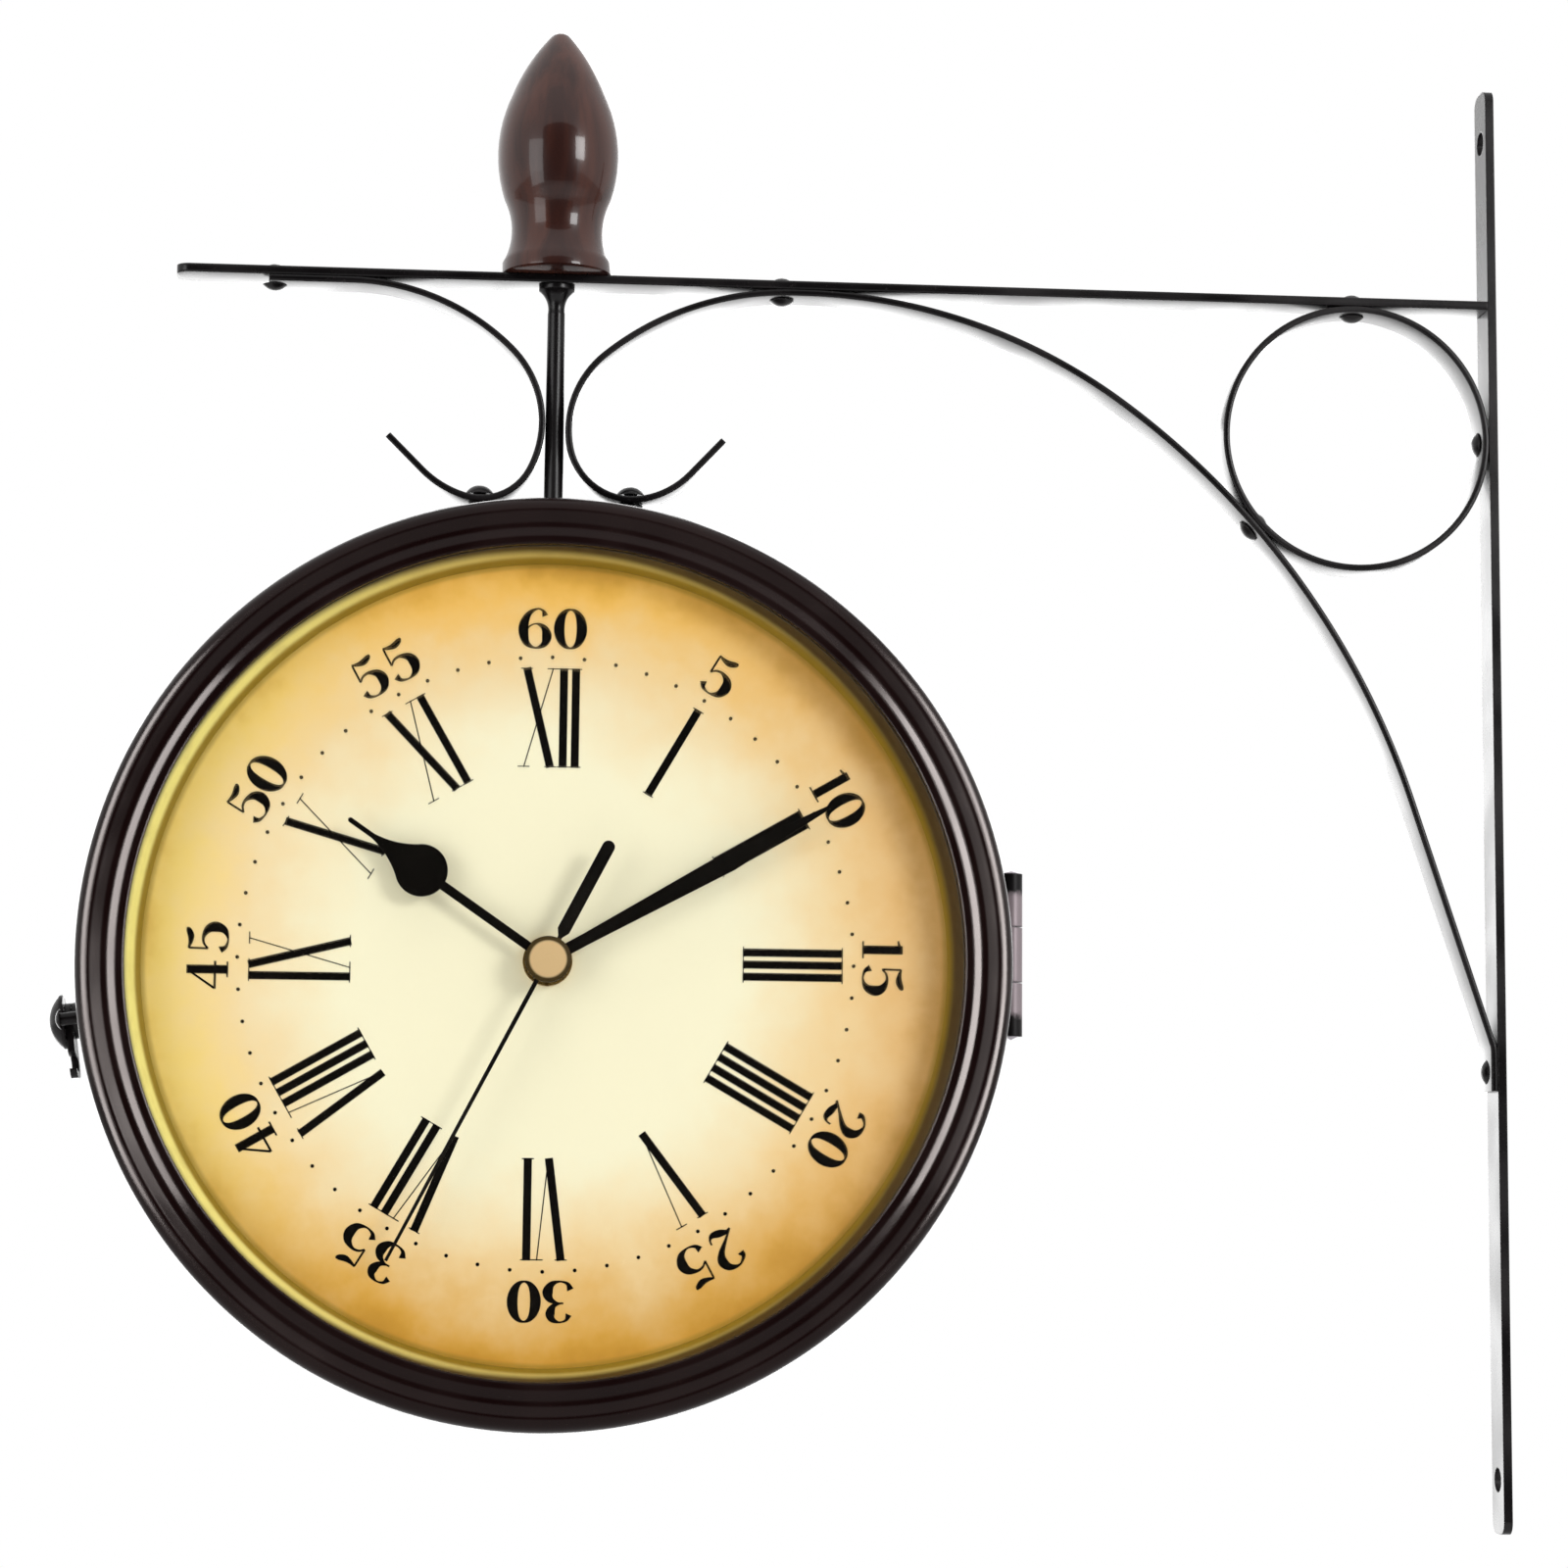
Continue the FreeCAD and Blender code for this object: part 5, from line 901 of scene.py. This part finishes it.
class CLOCK_OT_finial(ClockOperator, bpy.types.Operator):
    """Turn the finial's outline about the stem's axis"""
    bl_idname = "clock.finial"
    bl_label = "Finial"

    def execute(self, context):
        b = context.scene.clock_bracket
        shape = outline([(0, 0), (11.9, 0), (12.6, 0.5), (12.6, 3.0), ((10.6, 11.5), (12.3, 18.1)),
                         ((14.0, 26.5), (11.2, 42.3)), ((7.6, 49.8), (2.4, 56.9)),
                         ((1.3, 57.7), (0, 58.0))])
        shape = shape + (0, b.arm_height + b.bar_thick)
        made = make_object("finial_dressed", [turned_post(shape, 128)], smooth=50.0)
        give(made, bpy.data.materials["finial_lacquer"])
        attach(made, ROOT)
        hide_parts("finial")
        return {"FINISHED"}


def bezel_outline(s):
    """Radius and depth round one bezel's section: inner seat, bead, groove, roll and skirt."""
    seat, front = s.glass_radius + 0.2, s.half_thick
    tab_back = s.dial_face - 2 * s.dial_thick
    glass_front = s.glass_back + 1.5
    roll, floor, step = s.bezel_radius - 3.1, s.bezel_radius - 5.9, s.bezel_radius - 7.1
    bead = s.bezel_radius - 9.1
    skirt = s.drum_radius - s.sheet
    hollow = s.sheet + 0.2
    points = outline([
        (seat, tab_back), (seat, glass_front), (s.opening_radius, glass_front),
        (s.opening_radius, front - 0.5), (s.opening_radius + 0.3, front - 0.2),
        (bead, front - 0.1), (bead + 0.4, front - 0.25), (step, front - 1.25),
        (floor, front - 1.25), (roll - 0.9, front - 0.3), ((roll - 0.4, front - 0.08), (roll, front)),
        ((s.bezel_radius - 0.9, front - 1.5), (s.bezel_radius, front - 4.5)),
        (s.bezel_radius, front - 10.0), (s.drum_radius, front - 11.0), (s.drum_radius, s.split),
        (skirt, s.split), (skirt, front - 3.8), (roll, front - hollow),
        (seat + 2 * s.sheet, front - 1.8), (seat + s.sheet, front - 1.6 - hollow),
        (seat + s.sheet, tab_back)])
    return softened(points, 0.35)


class CLOCK_OT_bezels(ClockOperator, bpy.types.Operator):
    """Turn both bezels and the sloping rings inside them"""
    bl_idname = "clock.bezels"
    bl_label = "Bezels"

    def execute(self, context):
        s = context.scene.clock_case
        ring = turned_ring(bezel_outline(s), s.segments)
        slope = softened(np.array([(s.reveal_foot, s.dial_face), (s.glass_radius, s.dial_face),
                                   (s.glass_radius, s.glass_back),
                                   (s.opening_radius, s.glass_back)]), 0.2)
        seat = s.glass_radius + 0.2
        lug = bar_section(s.dial_thick, TAB_WIDTH, 0.3)
        tabs = []
        for index in range(TABS):
            a = math.radians(FIRST_TAB + 360 / TABS * index)
            r = np.linspace(seat - TAB_LENGTH, seat + s.sheet / 2, 5)[:, None]
            across, depth = lug[None, :, 1], lug[None, :, 0] + s.dial_face - 1.5 * s.dial_thick
            tabs.append((np.stack([r * math.cos(a) - across * math.sin(a), depth + 0 * r,
                                   r * math.sin(a) + across * math.cos(a)], -1), False))
        for side in SIDES:
            bezel = make_object(side + "_bezel_dressed", [ring] + tabs, side, smooth=50.0)
            reveal = make_object(side + "_reveal_dressed", [turned_ring(slope, s.segments)], side)
            rows = ((bezel, "bezel", "bezel_gloss", "bezel_brown"),
                    (reveal, "reveal_ring", "reveal_paint_" + side, "reveal_cream"))
            for made, node, material, slot in rows:
                give(made, bpy.data.materials[material])
                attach(made, CARRIER[side])
                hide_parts(side + "_" + node)
        return {"FINISHED"}


# Strokes of each digit: points of x, height and stroke width, with the digit's foot at 0
DIGITS = {
    "1": (((0.2, 0.1, 1.5), (0.2, 8.9, 1.5)), ((-1.7, 0.15, 0.3), (2.1, 0.15, 0.3)),
          ((0.3, 8.75, 0.35), (-0.6, 8.2, 0.5), (-1.8, 7.9, 0.3))),
    "2": (((-2.1, 6.5, 1.2), (-2.2, 7.6, 0.7), (-0.6, 8.8, 0.4), (1.5, 8.2, 1.2), (2.3, 6.5, 1.7),
           (1.6, 4.7, 1.1), (-0.6, 2.6, 0.5), (-2.5, 0.8, 0.35)),
          ((-2.5, 0.8, 0.35), (-1.6, 1.2, 0.7), (0.0, 0.8, 1.3), (1.6, 0.5, 1.0), (2.5, 1.1, 0.4),
           (2.7, 2.2, 0.3))),
    "3": (((-2.0, 7.2, 1.1), (-1.4, 8.4, 0.5), (0.1, 8.85, 0.35), (1.6, 8.2, 1.1),
           (2.0, 6.9, 1.6), (1.3, 5.4, 0.9), (0.0, 4.85, 0.35), (-0.8, 4.8, 0.3)),
          ((-0.8, 4.8, 0.3), (0.6, 4.7, 0.4), (2.1, 3.9, 1.2), (2.6, 2.4, 1.8), (1.8, 0.8, 1.1),
           (0.1, 0.15, 0.35), (-1.6, 0.6, 0.6), (-2.3, 1.9, 1.2))),
    "4": (((1.1, 0.1, 1.5), (1.1, 8.9, 1.5)), ((1.0, 8.75, 0.35), (-3.0, 2.85, 0.4)),
          ((-3.1, 2.8, 0.4), (2.9, 2.8, 0.4)), ((-0.6, 0.15, 0.3), (2.8, 0.15, 0.3))),
    "5": (((-2.0, 8.5, 0.35), (-2.1, 4.4, 0.35)),
          ((-2.1, 8.6, 0.3), (-0.8, 8.2, 0.7), (0.6, 8.1, 1.1), (1.9, 8.6, 0.9), (2.4, 9.0, 0.3)),
          ((-2.1, 4.4, 0.3), (-1.0, 5.3, 0.4), (0.5, 5.4, 0.6), (2.1, 4.4, 1.4), (2.6, 2.8, 1.8),
           (1.9, 1.0, 1.2), (0.1, 0.15, 0.35), (-1.7, 0.6, 0.6), (-2.4, 1.8, 1.2))),
    "6": (((2.1, 7.3, 1.1), (1.6, 8.4, 0.5), (0.4, 8.85, 0.35), (-1.4, 7.8, 0.9),
           (-2.5, 5.6, 1.6), (-2.6, 3.4, 1.7), (-1.9, 1.2, 1.1), (0.0, 0.15, 0.35),
           (1.9, 1.0, 1.1), (2.5, 2.8, 1.7), (1.9, 4.6, 1.1), (0.3, 5.5, 0.35),
           (-1.2, 5.0, 0.3), (-2.0, 4.0, 0.3)),),
}
ROMAN = ("XII", "I", "II", "III", "IIII", "V", "VI", "VII", "VIII", "IX", "X", "XI")
ROMAN_PITCH = {"I": 2.65, "V": 7.0, "X": 7.8}


def ribbon(stroke, lift):
    """Flat printed stroke: a rectangle whose width follows the stroke is carried along it.

    Each stroke of a face has its own height, so that crossing strokes share no surface.
    """
    line = np.array(stroke, float) if len(stroke) == 2 else smooth_curve(stroke)
    slope = np.gradient(line[:, :2], axis=0)
    slope /= np.linalg.norm(slope, axis=1)[:, None]
    normal = np.stack([-slope[:, 1], slope[:, 0]], -1) * line[:, 2:] / 2
    one, two = line[:, :2] + normal, line[:, :2] - normal
    low, high = np.full((len(line), 1), PRINT_SINK), np.full((len(line), 1), lift)
    corners = [np.hstack([p, h]) for p, h in ((one, low), (one, high), (two, high), (two, low))]
    return np.stack(corners, 1), False


def nought(lift, weight, steps=40):
    """The digit 0: an upright oval whose stroke is widest at its sides.

    The centre line is (2.5 cos a, 4.5 + 4.3 sin a), and the width (0.35 + 1.5 |cos a|^1.5)
    times the weight.
    """
    a = np.linspace(0, 2 * math.pi, steps, endpoint=False)
    line = np.stack([2.5 * np.cos(a), 4.5 + 4.3 * np.sin(a)], -1)
    normal = np.stack([np.cos(a) * 4.3, np.sin(a) * 2.5], -1)
    normal /= np.linalg.norm(normal, axis=1)[:, None]
    normal *= weight * (0.35 + 1.5 * np.abs(np.cos(a)) ** 1.5)[:, None] / 2
    rows = [np.hstack([line + sign * normal, np.full((steps, 1), h)])
            for sign, h in ((1, PRINT_SINK), (1, lift), (-1, lift), (-1, PRINT_SINK))]
    return np.stack(rows, 1), True


def roman_strokes(text, p):
    """Straight strokes of a Roman numeral, centred, from its foot to its top."""
    total = sum(ROMAN_PITCH[letter] for letter in text)
    at, strokes = -total / 2, []
    foot, top, hair = p.hour_foot, p.hour_top, p.hair
    for letter in text:
        at += ROMAN_PITCH[letter] / 2
        if letter == "I":
            lines = (((0, foot, p.bar), (0, top, p.bar)),)
            feet = ((0, foot), (0, top))
        elif letter == "V":
            lines = (((-2.6, top, p.bar), (0.3, foot, p.bar)), ((2.6, top, hair), (0.4, foot, hair)))
            feet = ((-2.6, top), (2.6, top))
        else:
            lines = (((-2.9, top, p.bar), (2.5, foot, p.bar)), ((2.9, top, hair), (-3.3, foot, hair)))
            feet = ((-2.9, top), (2.9, top), (2.5, foot), (-3.3, foot))
        serifs = [((x - 1.3, z - 0.15 if z == top else z + 0.15, hair),
                   (x + 1.3, z - 0.15 if z == top else z + 0.15, hair)) for x, z in feet]
        for stroke in list(lines) + serifs:
            strokes.append([(x + at, z, w) for x, z, w in stroke])
        at += ROMAN_PITCH[letter] / 2
    return strokes


def turned_to(grid, degrees, right=0.0, up=0.0, depth=0.0):
    """Flat drawing of x, height and lift, turned clockwise from twelve about the clock's axis.

    A point (u, v) goes to (v sin a + u cos a, v cos a - u sin a).
    """
    a = math.radians(degrees)
    u, v = grid[..., 0] + right, grid[..., 1] + up
    return np.stack([v * math.sin(a) + u * math.cos(a), grid[..., 2] + depth,
                     v * math.cos(a) - u * math.sin(a)], -1)


def number_shells(p, s):
    """Shells of one dial's printing: hour numerals, minute numbers and minute dots."""
    shells = []
    for hour, text in enumerate(ROMAN):
        for index, stroke in enumerate(roman_strokes(text, p)):
            grid, loop = ribbon(stroke, p.film - 0.002 * index)
            shells.append((turned_to(grid, 30 * hour, depth=s.dial_face), loop))
        digits = str(5 * hour or 60)
        widths = [p.one_pitch if digit == "1" else p.digit_pitch for digit in digits]
        for place, digit in enumerate(digits):
            right = sum(widths[:place]) + widths[place] / 2 - sum(widths) / 2
            made = [nought(p.film, p.digit_weight)] if digit == "0" else [
                ribbon(np.array(stroke) * (1, 1, p.digit_weight), p.film - 0.002 * i)
                for i, stroke in enumerate(DIGITS[digit])]
            shells += [(turned_to(grid, 30 * hour, right, p.minute_foot, s.dial_face), loop)
                       for grid, loop in made]
    a = np.linspace(0, 2 * math.pi, 12, endpoint=False)
    disc = np.stack([p.dot * np.cos(a), p.dot * np.sin(a)], -1)
    dot = np.stack([np.column_stack([disc, np.full(len(a), h)])
                    for h in (PRINT_SINK, p.film * 0.9)])
    return shells + [(turned_to(dot, 6 * minute, up=p.dot_ring, depth=s.dial_face), False)
                     for minute in range(60)]


class CLOCK_OT_numbers(ClockOperator, bpy.types.Operator):
    """Print hour numerals, minute numbers and minute dots on both dials"""
    bl_idname = "clock.numbers"
    bl_label = "Numbers"

    def execute(self, context):
        shells = number_shells(context.scene.clock_print, context.scene.clock_case)
        for side in SIDES:
            made = make_object(side + "_numbers", shells, side, smooth=30.0)
            give(made, bpy.data.materials["hand_paint"])
            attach(made, CARRIER[side])
        return {"FINISHED"}


def flat_panel(name, corners, material):
    """Flat stage panel on four corners, in metres."""
    mesh = bpy.data.meshes.new(name)
    mesh.from_pydata(corners, [], [(0, 1, 2, 3)])
    panel = bpy.data.objects.new(name, mesh)
    bpy.context.scene.collection.objects.link(panel)
    give(panel, material)
    return panel


SQUARE = ((-1, -1), (1, -1), (1, 1), (-1, 1))


def add_lamps(scene, g, middle):
    """Soft lamps that face the clock. The strips and the glow only show in reflections.

    The strips light nothing but the bezels, and the glow leaves out the finial, stem and hinge.
    """
    striped = bpy.data.collections.new("bezels")
    for side in SIDES:
        striped.objects.link(bpy.data.objects[side + "_bezel_dressed"])
    apart = bpy.data.collections.new("kept_from_glow")
    dull = [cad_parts[name] for name in ("stem_tube", "hinge_leaf_fixed", "hinge_leaf_door")]
    for index, kept in enumerate([bpy.data.objects["finial_dressed"]] + dull):
        apart.objects.link(kept)
        apart.collection_objects[index].light_linking.link_state = "EXCLUDE"
    lamps = (("key", (1.15, -1.5, 0.5), 0.6, 0.6, g.lamp_key),
             ("fill", (-1.35, -1.3, 0.1), 0.9, 1.2, g.lamp_fill),
             ("top", (0.1, -0.3, 1.6), 1.2, 0.8, g.lamp_top),
             ("rear", (0.4, 1.7, 0.7), 1.2, 1.2, g.lamp_back),
             ("strip_right", (1.1, -0.5, 0.0), 0.5, 1.8, g.strip_right),
             ("strip_left", (-1.1, -0.5, 0.0), 0.5, 1.8, g.strip_left),
             ("glow_back", (-0.2, 1.6, -0.15), 1.8, 1.3, g.glow_back))
    for name, offset, width, height, power in lamps:
        lamp = bpy.data.lights.new(name, "AREA")
        lamp.shape, lamp.size, lamp.size_y = "RECTANGLE", width, height
        lamp.energy = power
        made = bpy.data.objects.new(name, lamp)
        scene.collection.objects.link(made)
        made.location = middle + offset
        made.rotation_mode = "QUATERNION"
        made.rotation_quaternion = (-Vector(offset)).to_track_quat("-Z", "Y")
        made.visible_camera = False
        if name.startswith(("strip", "glow")):
            only_gloss(made)
            made.light_linking.receiver_collection = apart if name == "glow_back" else striped
        made.visible_glossy = name != "top"


def white_surround(scene, strength):
    """World that lights softly and is plain white to the camera, to glass and in reflections."""
    world = bpy.data.worlds.new("surround")
    scene.world = world
    world.use_nodes = True
    tree = world.node_tree
    tree.nodes.clear()
    rays = put(tree, "ShaderNodeLightPath").outputs
    seen = maths(tree, "MAXIMUM", rays["Is Camera Ray"], rays["Is Transmission Ray"])
    seen = maths(tree, "MAXIMUM", seen, rays["Is Glossy Ray"])
    dim = put(tree, "ShaderNodeBackground", {"Color": (1, 1, 1, 1), "Strength": strength})
    white = put(tree, "ShaderNodeBackground", {"Color": (1, 1, 1, 1), "Strength": 1.0})
    both = put(tree, "ShaderNodeMixShader", {0: seen, 1: dim.outputs[0], 2: white.outputs[0]})
    put(tree, "ShaderNodeOutputWorld", {"Surface": both.outputs[0]})


def add_camera(scene, g):
    """Camera that looks along its aim: turn to the right, tilt up, then roll."""
    turn_right, tilt, roll = g.aim
    ahead = np.array((math.sin(turn_right) * math.cos(tilt), math.cos(turn_right) * math.cos(tilt),
                      math.sin(tilt)))
    level = np.array((math.cos(turn_right), -math.sin(turn_right), 0.0))
    up = np.cross(level, ahead)
    right = level * math.cos(roll) - up * math.sin(roll)
    up = up * math.cos(roll) + level * math.sin(roll)
    lens = bpy.data.cameras.new("camera")
    lens.lens, lens.sensor_width, lens.clip_start = g.focal, 36.0, 0.01
    camera = bpy.data.objects.new("camera", lens)
    scene.collection.objects.link(camera)
    turned = Matrix([[*row] for row in np.stack([right, up, -ahead], 1)]).to_4x4()
    camera.matrix_world = Matrix.Translation(g.camera) @ turned
    scene.camera = camera


class CLOCK_OT_stage(ClockOperator, bpy.types.Operator):
    """Set up the pale floor, soft studio lamps, white surround and the camera"""
    bl_idname = "clock.stage"
    bl_label = "Stage"

    def execute(self, context):
        scene, g = context.scene, context.scene.clock_stage
        middle = np.array(CENTRE_MM) / 1000 + (0.05, 0, 0.05)
        half = g.floor_size / 2
        floor = flat_panel("floor", [(CENTRE_MM[0] / 1000 + x * half, y * half, g.floor_drop)
                                     for x, y in SQUARE], studio_floor(scene.clock_colours))

        # the dark screen stands behind the camera and is seen only in reflections
        flag = flat_panel("flag", [(middle[0] + x * SCREEN_HALF, SCREEN_BACK, middle[2] + z * SCREEN_HALF)
                                   for x, z in SQUARE], dark_screen(scene.clock_colours))
        only_gloss(flag)
        flag.visible_shadow = False

        add_lamps(scene, g, middle)
        white_surround(scene, g.sky)
        add_camera(scene, g)
        scene.view_settings.view_transform = "Standard"
        return {"FINISHED"}


class CLOCK_PT_panel(bpy.types.Panel):
    """Lists the steps that build the clock, with their sizes and colours"""
    bl_idname = "CLOCK_PT_panel"
    bl_label = "Station Clock"
    bl_space_type = "VIEW_3D"
    bl_region_type = "UI"
    bl_category = "Station Clock"

    def draw(self, context):
        for operator in OPERATORS:
            self.layout.operator(operator.bl_idname)
        for name, group in GROUPS.items():
            box = self.layout.box()
            for key in group.__annotations__:
                box.prop(getattr(context.scene, name), key)


OPERATORS = (CLOCK_OT_finishes, CLOCK_OT_bracket, CLOCK_OT_finial, CLOCK_OT_bezels,
             CLOCK_OT_numbers, CLOCK_OT_stage)


def register():
    for name, group in GROUPS.items():
        bpy.utils.register_class(group)
        setattr(bpy.types.Scene, name, PointerProperty(type=group))
    for kind in OPERATORS + (CLOCK_PT_panel,):
        bpy.utils.register_class(kind)


def unregister():
    for kind in reversed(OPERATORS + (CLOCK_PT_panel,)):
        bpy.utils.unregister_class(kind)
    for name, group in reversed(GROUPS.items()):
        delattr(bpy.types.Scene, name)
        bpy.utils.unregister_class(group)


def main():
    """Runs every step in order."""
    register()
    for operator in OPERATORS:
        family, step = operator.bl_idname.split(".")
        getattr(getattr(bpy.ops, family), step)()


if __name__ == "__main__":
    main()
